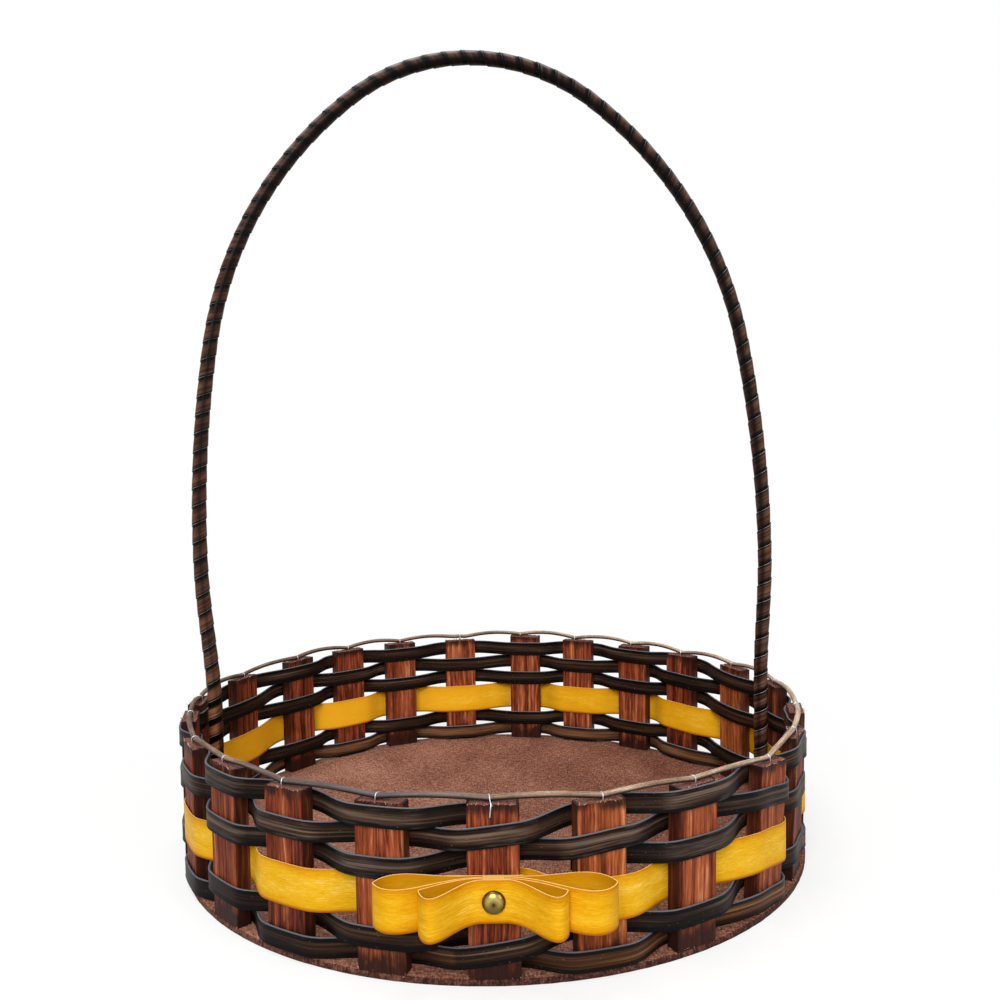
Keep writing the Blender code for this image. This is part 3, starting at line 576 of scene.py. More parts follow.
def brassMaterial(look, headRadius, headHeight):
    # stamped brass, lacquered: a painted dark reflection at its crown, a painted highlight on its shoulder, darker
    # towards its rim, and painted shade on its lower half
    material, tree, shader = newMaterial("stamped brass", {"Metallic": 1.0})
    place = addNode(tree, "TexCoord").outputs["Object"]
    flat = {"operation": "MULTIPLY_ADD", 1: (1.0, 0.0, 1.0), 2: (0.0, 0.0, -headHeight)}
    face = addNode(tree, "VectorMath", flat, {0: place})
    reach = addNode(tree, "VectorMath", {"operation": "LENGTH"}, {0: face}).outputs["Value"]
    scaled = addNode(tree, "VectorMath", {"operation": "SCALE", "Scale": 1000 / look["speck"]}, {0: place})
    specks = addNode(tree, "TexNoise", {"Scale": 1.0, "Detail": 3.0}, {"Vector": scaled})
    level = addNode(tree, "MapRange", {"From Max": headRadius}, {"Value": reach})
    level = addNode(tree, "Math", {"operation": "MULTIPLY_ADD", 1: look["speckShare"]}, {0: specks, 2: level})
    level = addNode(tree, "Math", {"operation": "SUBTRACT", 1: look["speckShare"] / 2}, {0: level})
    base = addNode(tree, "ValToRGB", {"stops": look["stops"]}, {0: level})
    height = addNode(tree, "SeparateXYZ", {}, {0: face}).outputs["Z"]
    # painted shade on the lower half of the head
    dark = {**fromTo(look["lowRange"], headRadius), "To Max": look["lowShare"], **smooth}
    low = addNode(tree, "MapRange", dark, {"Value": height})
    mix = addNode(tree, "Mix", {"data_type": "RGBA", 7: look["low"]}, {0: low, 6: base})
    least, most = look["roughness"]
    rough = addNode(tree, "MapRange", {"To Min": least, "To Max": most}, {"Value": specks})
    linkUp(tree, shader, {"Base Color": mix, "Roughness": rough})
    return material


coreLook = {"fibre": (0.6, 0.6, 14.0), "pale": "#c4a378", "deep": "#8a6a48", "roughness": (0.6, 0.8)}  # fibres in mm


def coreMaterial(look):
    # peeled round cane: pale and matt, with open pores along it
    material, tree, shader = newMaterial("peeled round cane", {})
    place = addNode(tree, "TexCoord").outputs["Object"]
    scaled = addNode(tree, "VectorMath", {"operation": "MULTIPLY", 1: grain(*look["fibre"])}, {0: place})
    fibres = addNode(tree, "TexNoise", {"Scale": 1.0, "Detail": 3.0}, {"Vector": scaled})
    mix = addNode(tree, "Mix", {"data_type": "RGBA", 6: look["deep"], 7: look["pale"]}, {0: fibres})
    low, high = look["roughness"]
    rough = addNode(tree, "MapRange", {"To Min": low, "To Max": high}, {"Value": fibres})
    linkUp(tree, shader, {"Base Color": mix, "Roughness": rough})
    return material


darkStrip = darkStripMaterial("dark brown extruded polypropylene", darkStripLook)
wrapStrip = darkStripMaterial("dark brown wrapping strip", wrapLook)
yellowStrip = yellowStripMaterial("brushed yellow polypropylene", yellowStripLook)
bandYellow = yellowStripMaterial("warm yellow polypropylene band", bandLook)
pine = slatMaterial(slatLook)
boardFace = boardMaterial(boardLook, False)
boardEdge = boardMaterial(boardLook, True)
cane = cordMaterial(cordLook)
caneRod = coreMaterial(coreLook)
wire = metalMaterial("galvanised staple wire")
steel = metalMaterial("bright nail steel")
print("materials made")


# Wall: where the slats stand

wall = {
    "radius": 0.175, "count": 23, "width": 22.0 * mm, "thickness": 7.8 * mm, "inset": 0.1 * mm,
    "foot": 3.3 * mm, "end": 77.3 * mm, "step": 1.6 * mm,
    # how far each slat is moved along the wall, as a share of the spacing, and its top upwards, in steps
    "shifts": (0, -0.03, -0.02, 0.19, 0.06, 0.08, 0.17, 0.23, 0.32, 0.19, 0.14, 0.01,
               0.07, 0.06, -0.05, -0.13, 0.05, 0.4, 0.02, 0.03, 0.02, -0.04, -0.02),
    "tops": (0, -1.2, -1.0, -2.9, -0.8, -0.6, 0.3, -0.1, -0.6, 0.1, 0.4, 1.5,
             0.1, 0.7, 0.7, 0.8, 0.5, 1.4, 0.6, -0.4, 0.4, -0.5, -0.6),
    # the slats on the right lean: twist in degrees, then foot and top moved along the wall and outwards, mm
    "leans": {2: (0, -1.1, 0.4, 0, 0), 3: (4.7, -1.6, 0.3, -2.2, 0.3),
              4: (0, 0, 0, -2.1, -0.2), 5: (0, 0, 0, -1.2, -0.5)},
    # golden above 0, dark below
    "tones": (0.05, 0.35, 0.2, 0.15, -0.3, -0.2, -0.45, 0.4, -0.35, 0.15, 0.2, 0.1,
              0.2, 0.1, -0.3, -0.3, -0.4, -0.4, -0.5, -0.4, 0.0, -0.1, 0.15),
}
outerFace = wall["radius"] - wall["inset"]
innerFace = outerFace - wall["thickness"]
middleRadius = (outerFace + innerFace) / 2
spacing = math.tau * middleRadius / wall["count"]  # from one slat to the next


def stakeAngle(index):
    return math.tau / wall["count"] * (index + wall["shifts"][index % wall["count"]])


def stakeTop(index):
    return wall["end"] + wall["step"] * wall["tops"][index % wall["count"]]


def wallSpot(angle, along, radius, height):
    # along runs round the wall, radius is square to the slat's face
    x = along * math.cos(angle) + radius * math.sin(angle)
    y = along * math.sin(angle) - radius * math.cos(angle)
    return Vector((x, y, height))


def slatSpot(index, along, radius, height):
    # the same, moved with a slat that leans
    twist, slipFoot, slipTop, outFoot, outTop = wall["leans"].get(index % wall["count"], (0, 0, 0, 0, 0))
    turn, share = math.radians(twist), height / wall["end"]
    slip = (slipFoot + (slipTop - slipFoot) * share) * mm
    out = (outFoot + (outTop - outFoot) * share) * mm
    proud = radius - middleRadius
    turnedAlong = along * math.cos(turn) - proud * math.sin(turn)
    turnedOut = along * math.sin(turn) + proud * math.cos(turn)
    return wallSpot(stakeAngle(index), turnedAlong + slip, middleRadius + turnedOut + out, height)


# Base board

board = {
    "radius": 174.9 * mm, "thickness": 3.0 * mm, "sides": 276, "bevel": 0.35 * mm,
    "rings": (0.3, 0.6, 0.85, 0.96),  # shares of the radius
    "ragged": 0.22 * mm, "raggedFrom": 0.98, "raggedSteps": (0.9, 0.7),  # noise steps round the edge and across it
}


def makeBoard():
    radius, thick, bevel, sides = board["radius"], board["thickness"], board["bevel"], board["sides"]
    around, across = board["raggedSteps"]
    # each ring: its radius, its height, and 1 where it is on the sawn edge
    profile = [(radius * share, 0.0, 0) for share in board["rings"]]
    profile += [(radius - bevel, 0.0, 0), (radius, bevel, 1), (radius, thick / 2, 1)]
    profile += [(radius, thick - bevel, 1), (radius - bevel, thick, 1)]
    profile += [(radius * share, thick, 0) for share in reversed(board["rings"])]
    verts, faces, kinds = [], [], []
    for row, (reach, height, _) in enumerate(profile):
        for i in range(sides):
            angle = math.tau * i / sides
            ragged = 0.0
            if reach > radius * board["raggedFrom"]:
                ragged = board["ragged"] * noise.noise(Vector((i * around, row * across, 4.0)))
            verts.append(Vector(((reach + ragged) * math.sin(angle), -(reach + ragged) * math.cos(angle), height)))
    for row in range(len(profile) - 1):
        for i in range(sides):
            j = (i + 1) % sides
            faces.append((row * sides + i, row * sides + j, (row + 1) * sides + j, (row + 1) * sides + i))
            kinds.append(1 if profile[row][2] and profile[row + 1][2] else 0)
    last = (len(profile) - 1) * sides
    for centre, ring in ((0.0, 0), (thick, last)):
        middle = len(verts)
        verts.append(Vector((0, 0, centre)))
        for i in range(sides):
            j = (i + 1) % sides
            faces.append((middle, ring + j, ring + i) if ring == 0 else (middle, ring + i, ring + j))
            kinds.append(0)
    addPiece("hardboard_disc", verts, faces, [boardFace, boardEdge], ["base_board"],
             crisp=50, faceMaterials=kinds)


makeBoard()


# Slats: sawn boxes with grooved faces, torn ends and splinters

slat = {
    "acrossSteps": 18, "depthSteps": 7, "corner": 0.45 * mm, "narrowing": 0.996, "sunk": 0.25 * mm,
    # rows as shares of the height: by the foot, evenly between, by the top; then the rings on each end
    "footRows": (0.0, 0.012), "evenRows": (0.03, 0.93), "rows": 34, "topRows": (0.978, 1.0),
    "endRings": (0.86, 0.6, 0.3),
    "groove": 0.16 * mm, "grooveWidth": 1.6 * mm, "torn": 0.5 * mm, "tornShare": 0.015, "sawTilt": 0.55 * mm,
    "topStain": (0.55, 5.0 * mm), "footStain": (0.68, 13.0 * mm),  # how dark it is there, and how far it reaches
    "endMark": 1.5, "splinterMark": 2.0, "stainedMark": 0.6,  # read by the pine's colours
    "topSplinters": (9, 16), "footSplinters": (3, 7), "frontShare": 0.75, "cornerShare": 0.7,
    "splinterLength": (0.9 * mm, 3.0 * mm), "splinterWidth": (0.12 * mm, 0.26 * mm),
    "splinterRoot": 0.5 * mm, "splinterCurl": 0.4, "splinterRings": ((0.0, 1.0), (0.55, 0.7)),
    "topRise": (0.2, 1.0), "footRise": (-0.35, 0.1), "lowest": 0.1 * mm,
}


def slatOutline():
    half, deep, corner = wall["width"] / 2, wall["thickness"] / 2, slat["corner"]
    wide = [-half + corner + (2 * half - 2 * corner) * i / slat["acrossSteps"] for i in range(slat["acrossSteps"] + 1)]
    narrow = [-deep + corner + (2 * deep - 2 * corner) * i / slat["depthSteps"] for i in range(slat["depthSteps"] + 1)]
    front = [(x, -deep) for x in wide]
    right = [(half, y) for y in narrow]
    back = [(x, deep) for x in reversed(wide)]
    left = [(-half, y) for y in reversed(narrow)]
    return front + right + back + left


def makeSlat(index):
    draw = random.Random(500 + index)
    outline = slatOutline()
    sides = len(outline)
    half, deep = wall["width"] / 2, wall["thickness"] / 2
    foot, top = wall["foot"] - slat["sunk"], stakeTop(index)
    offset = Vector((draw.uniform(0, 9), draw.uniform(0, 9), draw.uniform(0, 9)))
    tilts = [draw.uniform(-1, 1) * slat["sawTilt"] for k in range(2)]
    tone = wall["tones"][index]
    topStain, topReach = slat["topStain"]
    footStain, footReach = slat["footStain"]
    verts, places, forms = [], [], []

    def add(x, y, share, rim=1.0):
        height = foot + (top - foot) * share
        grooveAt = Vector((x / slat["grooveWidth"], y / slat["grooveWidth"], height * 22)) + offset * 10
        push = slat["groove"] * noise.noise(grooveAt) * rim
        out = Vector((x / half, y / deep, 0))
        flat = Vector((out.x**5, out.y**5, 0))
        moved = Vector((x, y, 0)) + (flat.normalized() if flat.length else flat) * push
        moved.x *= slat["narrowing"]
        if share > 1 - slat["tornShare"]:
            tear = slat["torn"] * noise.noise(Vector((x * 1300, y * 1300, index * 5.0)))
            height += tear + tilts[0] * x / half + tilts[1] * y / deep * 0.5
            height = min(height, top + slat["torn"])
        elif share < slat["tornShare"]:
            height = foot + slat["torn"] * 0.5 * abs(noise.noise(Vector((x * 900, y * 900, index * 3.0))))
        verts.append((moved.x, moved.y, height))
        places.append((x + offset.x, y + offset.y, height + offset.z))
        soaked = topStain * bell(height, top, topReach) + footStain * bell(height, foot, footReach)
        # painted shade: 1 on the side faces
        sideShade = abs(x / half) ** 24 * (1 - abs(y / deep) ** 12)
        forms.append((soaked if rim else slat["endMark"], tone, sideShade))

    begin, reach = slat["evenRows"]
    evenRows = [begin + reach * i / slat["rows"] for i in range(slat["rows"] + 1)]
    rows = [*slat["footRows"], *evenRows, *slat["topRows"]]
    for share in rows:
        for x, y in outline:
            add(x, y, share)
    faces = tubeFaces(len(rows), sides, capped=False)
    topRing = (len(rows) - 1) * sides
    for ring, share in ((0, 0.0), (topRing, 1.0)):
        before = ring
        for shrink in slat["endRings"]:
            start = len(verts)
            for x, y in outline:
                add(x * shrink, y * shrink, share, 0.0)
            for j in range(sides):
                k = (j + 1) % sides
                quad = (before + j, before + k, start + k, start + j)
                faces.append(quad if ring else tuple(reversed(quad)))
            before = start
        cap = tuple(before + j for j in range(sides))
        faces.append(cap if ring else tuple(reversed(cap)))

    def splinter(x, y, height, out, rise):
        # a curled sliver with three sides and a point, rooted inside the slat
        length = draw.uniform(*slat["splinterLength"])
        width = draw.uniform(*slat["splinterWidth"])
        lean = Vector((draw.uniform(-0.5, 0.5), out * draw.uniform(0.1, 0.8), rise)).normalized()
        side = lean.cross(Vector((draw.uniform(-1, 1), draw.uniform(-1, 1), 0.3))).normalized()
        other = lean.cross(side)
        root = Vector((x, y, height)) - lean * slat["splinterRoot"]
        bend = side * draw.uniform(-slat["splinterCurl"], slat["splinterCurl"]) * length
        start = len(verts)
        for step, size in slat["splinterRings"]:
            middle = root + lean * length * step + bend * step * step
            for k in range(3):
                angle = math.tau * k / 3
                verts.append(tuple(middle + (side * math.cos(angle) + other * math.sin(angle)) * width * size))
        verts.append(tuple(root + lean * length + bend))
        for k in range(7):
            places.append(tuple(Vector(verts[start + k]) + offset))
            isPale = rise > 0 or draw.random() < 0.5
            forms.append((slat["splinterMark" if isPale else "stainedMark"], tone, 0.0))
        for k in range(3):
            m = (k + 1) % 3
            faces.append((start + k, start + m, start + 3 + m, start + 3 + k))
            faces.append((start + 3 + k, start + 3 + m, start + 6))
        faces.append((start + 2, start + 1, start))

    for k in range(draw.randint(*slat["topSplinters"])):
        onFront = draw.random() < slat["frontShare"]
        x = draw.uniform(-0.97, 0.97) * half
        y = (-0.97 if onFront else 0.9) * deep
        splinter(x, y, top - 0.2 * mm, -1 if onFront else 1, draw.uniform(*slat["topRise"]))
    for k in range(draw.randint(*slat["footSplinters"])):
        atCorner = draw.random() < slat["cornerShare"]
        x = draw.choice((-0.98, 0.98)) * half if atCorner else draw.uniform(-1, 1) * half
        splinter(x, -0.97 * deep, foot + draw.uniform(0.3, 1.2) * mm, -1, draw.uniform(*slat["footRise"]))
    placed = [slatSpot(index, x, middleRadius - y, z) for x, y, z in verts]
    placed = [Vector((v.x, v.y, max(v.z, slat["lowest"]))) for v in placed]
    name = f"{index + 1:02d}"
    marks = {"woodPlace": places, "woodForm": forms}
    addPiece(f"slat_{name}", placed, faces, [pine], [f"stake_{name}"], marks, crisp=38)


for index in range(wall["count"]):
    makeSlat(index)
print("board and slats built")


# Strips: the weavers and the yellow band run in and out of the slats

weave = {
    "reach": 11.2 * mm, "gap": 0.15 * mm, "tilt": 0.1, "climbStart": -0.85, "step": 2.2 * mm,
    "rowHeight": 9.6 * mm, "lowRow": 8.5 * mm, "lowPitch": 10.2 * mm, "topPitch": 11.0 * mm,
    "bandHeight": 19.4 * mm, "bandGap": 0.6 * mm,
    # how far the third row sags at a place counted in slats, mm
    "sags": ((2.3, 0), (2.76, 1.3), (3.24, 3.4), (3.76, 2.4), (4.24, 1.2), (4.76, 1.4), (5.24, 2.0),
             (5.76, 2.6), (6.24, 2.6), (6.76, 1.8), (7.5, 0.8), (8.2, 0)),
    "sagShares": (0.3, 0.8), "sagHeight": 51.4 * mm, "sagPower": 0.8,  # of the lowest row, and what height adds
    "flat": (3, 4, 5), "flatShort": 0.35 * mm,  # slats that the strips lie close to
    "liftShare": 0.35,  # how much of an end's lift is left half way to the next slat
}
halfRows = (weave["bandHeight"] + weave["rowHeight"]) / 2
bandRow = weave["lowRow"] + weave["lowPitch"] + halfRows + weave["bandGap"]
upperRow = bandRow + halfRows + weave["bandGap"]


def sag(place, height):
    # the strips hang lower on the right, the upper rows most
    place %= wall["count"]
    marks = weave["sags"]
    for (a, low), (b, high) in zip(marks, marks[1:]):
        if a <= place < b:
            share = (1 - math.cos(math.pi * (place - a) / (b - a))) / 2
            least, more = weave["sagShares"]
            raised = max((height - weave["lowRow"]) / weave["sagHeight"], 0.0) ** weave["sagPower"]
            return (low + (high - low) * share) * mm * (least + more * raised)
    return 0.0


def weaveLine(first, turns, outside, thickness, bulge, start, pitch, climb, lifts=(0.0, 0.0), endReach=None):
    # outside is 0 where the strip passes in front of the even slats, and 1 in front of the odd ones
    def level(index):
        past = [index - turn * wall["count"] - weave["climbStart"] for turn in range(1, turns)]
        height = start + pitch * sum(ramp(slats, 0.0, climb) for slats in past)
        return height - sag(index, height)

    last = turns * wall["count"]
    points, directions = [], []
    for index in range(first, last + 1):
        side = 1 if index % 2 == outside else -1
        face = (outerFace if side > 0 else innerFace) + side * (weave["gap"] + thickness / 2)
        lift = lifts[0] if index == first else lifts[1] if index == last else 0.0
        isFlat = index % wall["count"] in weave["flat"]
        middle = slatSpot(index, 0.0, 0.0, 0.0)
        around, outwards = slatSpot(index, 1.0, 0.0, 0.0) - middle, slatSpot(index, 0.0, 1.0, 0.0) - middle
        reach = endReach if endReach and index == last else weave["reach"] - (weave["flatShort"] if isFlat else 0.0)
        run = []
        spots = ((-weave["reach"], 0.0, 1), (0.0, 0.0 if isFlat else bulge, 0), (reach, 0.0, -1))
        for along, proud, lean in spots:
            place = index + along / spacing
            slope = (level(place + 0.1) - level(place - 0.1)) / (0.2 * spacing)
            free = index == (first if lean > 0 else last)
            run.append((slatSpot(index, along, face + side * proud, level(place) + lift),
                        around + up * slope + outwards * (0 if free else side * lean * weave["tilt"])))
        if points and (lift or lifts[0] and index == first + 1):
            middle = (points[-1] + run[0][0]) / 2
            middle.z = level(index - 0.5) + weave["liftShare"] * (lifts[0] if index == first + 1 else lift)
            points.append(middle)
            directions.append(None)
        points += [point for point, direction in run]
        directions += [direction for point, direction in run]
    return smoothLine(points, directions, weave["step"])


strip = {
    "curl": 0.5 * mm, "beadAt": 0.87, "beadWidth": 0.06, "ragged": 0.06 * mm, "backWearAndSheen": 0.4,
    # the rings across a strip, as shares of its half width
    "beadRings": (0.0, 0.22, 0.44, 0.6, 0.7, 0.77, 0.83), "plainRings": (0.0, 0.25, 0.5, 0.7, 0.84),
}


def stripSection(width, thickness, bead=0.0):
    # each point: place across, place through the thickness, share of the half width, and face
    half, thick = width / 2, thickness / 2
    curl = min(thick, strip["curl"])
    rim = 1 - 0.8 * curl / half
    marks = (*strip["beadRings"], rim - 0.03, rim) if bead else (*strip["plainRings"], rim)
    section = []
    for face in (1, -1):
        for share in [-mark for mark in reversed(marks)] + list(marks[1:]):
            raised = bead * bell(abs(share), strip["beadAt"], strip["beadWidth"])
            section.append((face * share * half, face * (thick + raised), abs(share), face))
        section.append((face * (half - curl * 0.2), face * thick * 0.62, 1.02, face))
        section.append((face * half, 0.0, 1.1, face))
        section.append((face * (half - curl * 0.2), -face * thick * 0.62, 1.02, -face))
    return section


def makeRibbon(name, line, section, material, nodes, tone, seed, wander=0.0, wearAndLight=None):
    verts, places, forms, wears = [], [], [], []
    distance = 0.0
    for i, point in enumerate(line):
        before, after = line[max(i - 1, 0)], line[min(i + 1, len(line) - 1)]
        run = (after - before).normalized()
        if i:
            distance += (point - line[i - 1]).length
        out = run.cross(up).normalized()
        rise = out.cross(run)
        drift = rise * wander * wave(distance * 9, seed)
        shade = tone(point, distance)
        wearAndSheen = wearAndLight(point, distance) if wearAndLight else 0.0
        for v, w, share, face in section:
            ragged = strip["ragged"] * wave(distance * 160, seed + 2 + round(share)) if share > 0.9 else 0.0
            verts.append(point + out * w + rise * (v + math.copysign(ragged, v)) + drift)
            places.append((distance, v, seed * 0.37 + 0.05 * face))
            forms.append((share, face, shade))
            # wear and painted sheen, weaker on the inner face
            wears.append((wearAndSheen if face > 0 else wearAndSheen * strip["backWearAndSheen"], 0.0, 0.0))
    marks = {"stripPlace": places, "stripForm": forms, "stripWear": wears}
    addPiece(name, verts, tubeFaces(len(line), len(section)), [material], nodes, marks, 60)


weaverStrip = {
    "thickness": 1.0 * mm, "bulge": 0.5 * mm, "bead": 0.12 * mm, "wander": 0.3 * mm,
    "upperClimb": 2.0, "lowerClimb": 1.4,  # slats that it takes to climb to the next row
    "frontLeft": (-50, 45),  # degrees round the wall from its front, and how far it fades
    "lowestRow": 12.0 * mm, "secondRow": 24.0 * mm, "backFrom": 60.0 * mm,  # heights, and a place in y
    "browner": 0.95, "brown": 0.12, "brownWave": 0.3,
    # wear and a painted sheen: on the low front rows, on the run at the back, and where the strip stands proud
    "lowWearAndSheen": (0.15, 1.1), "backWearAndSheen": 1.4, "proudWearAndSheen": (0.8, 0.5), "proudReach": (1.5 * mm, 2.2 * mm),
}


def frontLeft(point):
    # 1 at the front left of the wall, fading out round it
    return bell(math.degrees(math.atan2(point.x, -point.y)), *weaverStrip["frontLeft"])


def rowTone(point, distance):
    # the lowest row is browner than the rest, except at the front left, and each run differs a little
    isLowest = point.z < weaverStrip["lowestRow"]
    low = 1 - weaverStrip["browner"] * frontLeft(point) if isLowest else weaverStrip["brown"]
    return max(0.0, low + weaverStrip["brownWave"] * wave(distance * 6, 11))


def rowWearAndSheen(point, distance):
    # paler and greyer where the strip stands proud of the slats: a painted sheen, with scuff marks
    if point.z < weaverStrip["secondRow"] and point.y < weaverStrip["backFrom"]:
        most, less = weaverStrip["lowWearAndSheen"]
        return most - less * frontLeft(point)
    if point.z < weaverStrip["lowestRow"]:
        return weaverStrip["backWearAndSheen"]  # a paler run at the back
    start, reach = weaverStrip["proudReach"]
    most, change = weaverStrip["proudWearAndSheen"]
    proud = ramp(math.hypot(point.x, point.y) - outerFace, -start, reach)
    return proud * (most + change * wave(distance * 14, 41))


def makeWeavers():
    thickness, bulge, wander = weaverStrip["thickness"], weaverStrip["bulge"], weaverStrip["wander"]
    section = stripSection(weave["rowHeight"], thickness, weaverStrip["bead"])
    upper = weaveLine(1, 3, 0, thickness, bulge, upperRow, weave["topPitch"], weaverStrip["upperClimb"])
    lower = weaveLine(0, 2, 1, thickness, bulge, weave["lowRow"], weave["lowPitch"], weaverStrip["lowerClimb"])
    for name, line, node, seed in (("upper", upper, "upper_weaver", 3), ("lower", lower, "lower_weaver", 5)):
        makeRibbon(name + "_dark_strip", line, section, darkStrip, [node], rowTone, seed, wander, rowWearAndSheen)


bandStrip = {
    "thickness": 0.55 * mm, "bulge": 0.4 * mm, "wander": 0.15 * mm, "wearAndLight": 0.6,
    "lifts": (3.6 * mm, 4.4 * mm), "endReach": 12.5 * mm,  # its two ends, one over the other
    # painted light on the band's inner face
    "warmth": (0.28, 0.55), "warmest": (0.9, 0.75),  # least and added, then where in radians and how wide
}


def bandTone(point, distance):
    # painted light: the inner face is lighter and warmest at the back left
    least, more = bandStrip["warmth"]
    return least + more * bell(math.atan2(-point.x, point.y), *bandStrip["warmest"])


def bandWear(point, distance):
    return bandStrip["wearAndLight"]  # the same all the way round


def makeBand():
    section = stripSection(weave["bandHeight"], bandStrip["thickness"])
    line = weaveLine(0, 1, 1, bandStrip["thickness"], bandStrip["bulge"], bandRow, 0.0, 1.0,
                     bandStrip["lifts"], bandStrip["endReach"])
    makeRibbon("yellow_strip_band", line, section, bandYellow, ["yellow_band"],
               bandTone, 7, bandStrip["wander"], bandWear)


makeWeavers()
makeBand()
print("strips woven")


# Rim cord and its staples

rim = {
    "radius": 1.3 * mm, "circle": 171.0 * mm, "lift": 1.6 * mm,
    "frontRise": 1.5 * mm, "backRise": 2.3 * mm, "risePower": 0.9, "lowSpans": (15,),
    # mm along the wall, for each staple
    "slips": {0: -1.5, 1: 1.4, 6: -1.5, 7: 2.0, 9: 1.3, 10: 2.3, 11: 3.6,
              15: 0.8, 19: -1.5, 20: -3.0, 21: -3.0, 22: -1.8},
    "joint": 12, "jointGap": 0.6 * mm, "endRise": 1.5 * mm, "endFade": 9,
    "steps": 16, "sides": 18, "ridge": 0.06 * mm, "thin": 0.09,
    "slate": (343, 20), "slateShare": 0.7,  # degrees round the wall, and how far it fades
    "shades": (0.02, 0.2, 0.12), "palest": 100,  # everywhere, by the side, in patches; then degrees round the wall
    # painted shade on the cord's underside
    "underFrom": 0.42, "underSlope": 1.35, "underMost": 0.95,
}


def stapleAngle(index):
    return stakeAngle(index) + rim["slips"].get(index % wall["count"], 0.0) * mm / rim["circle"]


def cordTone(angle):
    # slate at the front left, plain tan elsewhere
    return rim["slateShare"] * bell(math.degrees(angle) % 360, *rim["slate"])


def makeCord():
    points, angles = [], []
    count, steps = wall["count"], rim["steps"]
    for span in range(count):
        index = rim["joint"] + span
        start, end = stapleAngle(index), stapleAngle(index + 1)
        low, high = stakeTop(index), stakeTop(index + 1)
        back = (1 - math.cos((start + end) / 2)) / 2
        rise = rim["frontRise"] + (rim["backRise"] - rim["frontRise"]) * back
        rise *= 0.5 if index % count in rim["lowSpans"] else 1.0
        for step in range(steps + (span == count - 1)):
            share = step / steps
            angle = start + (end - start) * share
            if not points:
                angle += rim["jointGap"] / 2 / rim["circle"]
            elif share == 1.0:
                angle -= rim["jointGap"] / 2 / rim["circle"]
            height = low + (high - low) * share + rim["lift"] + rise * math.sin(math.pi * share) ** rim["risePower"]
            if span == 0 or span == count - 1:  # the two ends spring up a little past their staple
                height += rim["endRise"] * math.exp(-(share if span == 0 else (1 - share) * 2) * rim["endFade"])
            points.append(wallSpot(angle, 0.0, rim["circle"], height))
            angles.append(angle)
    verts, places, forms = [], [], []
    distance = 0.0
    plain, sided, patched = rim["shades"]
    for i, point in enumerate(points):
        before, after = points[max(i - 1, 0)], points[min(i + 1, len(points) - 1)]
        run = (after - before).normalized()
        if i:
            distance += (point - points[i - 1]).length
        out = run.cross(up).normalized()
        rise = out.cross(run)
        size = rim["radius"] * (1 + rim["thin"] * wave(distance * 40, 21))
        turn = math.degrees(angles[i]) % 360
        shade = plain + sided * math.cos(math.radians(turn - rim["palest"])) + patched * wave(distance * 25, 23)
        for j in range(rim["sides"]):
            angle = math.tau * j / rim["sides"]
            reach = size + rim["ridge"] * noise.noise(Vector((j * 1.7, distance * 35, 3.0)))
            verts.append(point + (out * math.cos(angle) + rise * math.sin(angle)) * reach)
            places.append((distance, reach * angle, 0.0))
            # painted shade on the underside of the cord
            under = max(rim["underFrom"] - math.sin(angle), 0.0) * rim["underSlope"]
            forms.append((min(under, rim["underMost"]), cordTone(angles[i]), shade))
    faces = tubeFaces(len(points), rim["sides"])
    marks = {"stripPlace": places, "stripForm": forms}
    addPiece("rim_cane", verts, faces, [cane], ["rim_cord"], marks, 70)


staple = {
    "wire": 0.28 * mm, "broader": 1.15, "reach": 1.58 * mm, "crown": 1.42 * mm, "crownPower": 0.8, "depth": 4.5 * mm,
    "turn": 0.25, "arcSteps": 10, "sides": 10,
    "missed": (0,), "missedLeg": ((-0.6, -5.2), (-0.3, -2.4), (0.0, 0.2)),  # mm along the wall and up, from its foot
}


def makeStaple(index):
    draw = random.Random(900 + index)
    turn = draw.uniform(-staple["turn"], staple["turn"])
    line = [Vector((0, -staple["reach"], -staple["depth"])), Vector((0, -staple["reach"], 0))]
    for step in range(staple["arcSteps"] + 1):
        angle = math.pi * step / staple["arcSteps"]
        crown = math.sin(angle) ** staple["crownPower"] if 0 < step < staple["arcSteps"] else 0.0
        line.append(Vector((0, -staple["reach"] * math.cos(angle), rim["lift"] + staple["crown"] * crown)))
    line += [Vector((0, staple["reach"], 0)), Vector((0, staple["reach"], -staple["depth"]))]
    if index in staple["missed"]:  # its front leg missed the slat's end and lies on its face
        face = outerFace - rim["circle"] + staple["wire"] * 1.2
        leg = [Vector((along * mm, -face, height * mm)) for along, height in staple["missedLeg"]]
        line = leg + [Vector((0, -staple["reach"] * 1.2, rim["lift"]))] + line[3:]
    verts = []
    for i, point in enumerate(line):
        before, after = line[max(i - 1, 0)], line[min(i + 1, len(line) - 1)]
        run = (after - before).normalized()
        across = Vector((1, 0, 0))
        rise = run.cross(across)
        for j in range(staple["sides"]):
            angle = math.tau * j / staple["sides"]
            spot = point + (across * math.cos(angle) * staple["broader"] + rise * math.sin(angle)) * staple["wire"]
            along = spot.x * math.cos(turn) - spot.y * math.sin(turn)
            deep = spot.x * math.sin(turn) + spot.y * math.cos(turn)
            verts.append(wallSpot(stapleAngle(index), along, rim["circle"] - deep, stakeTop(index) + spot.z))
    name = f"{index + 1:02d}"
    faces = tubeFaces(len(line), staple["sides"])
    addPiece(f"wire_staple_{name}", verts, faces, [wire], [f"rim_staple_{name}"], crisp=60)


makeCord()
for index in range(wall["count"]):
    makeStaple(index)
print("rim cord stapled")


# Handle: a bent rod in a lapped strip

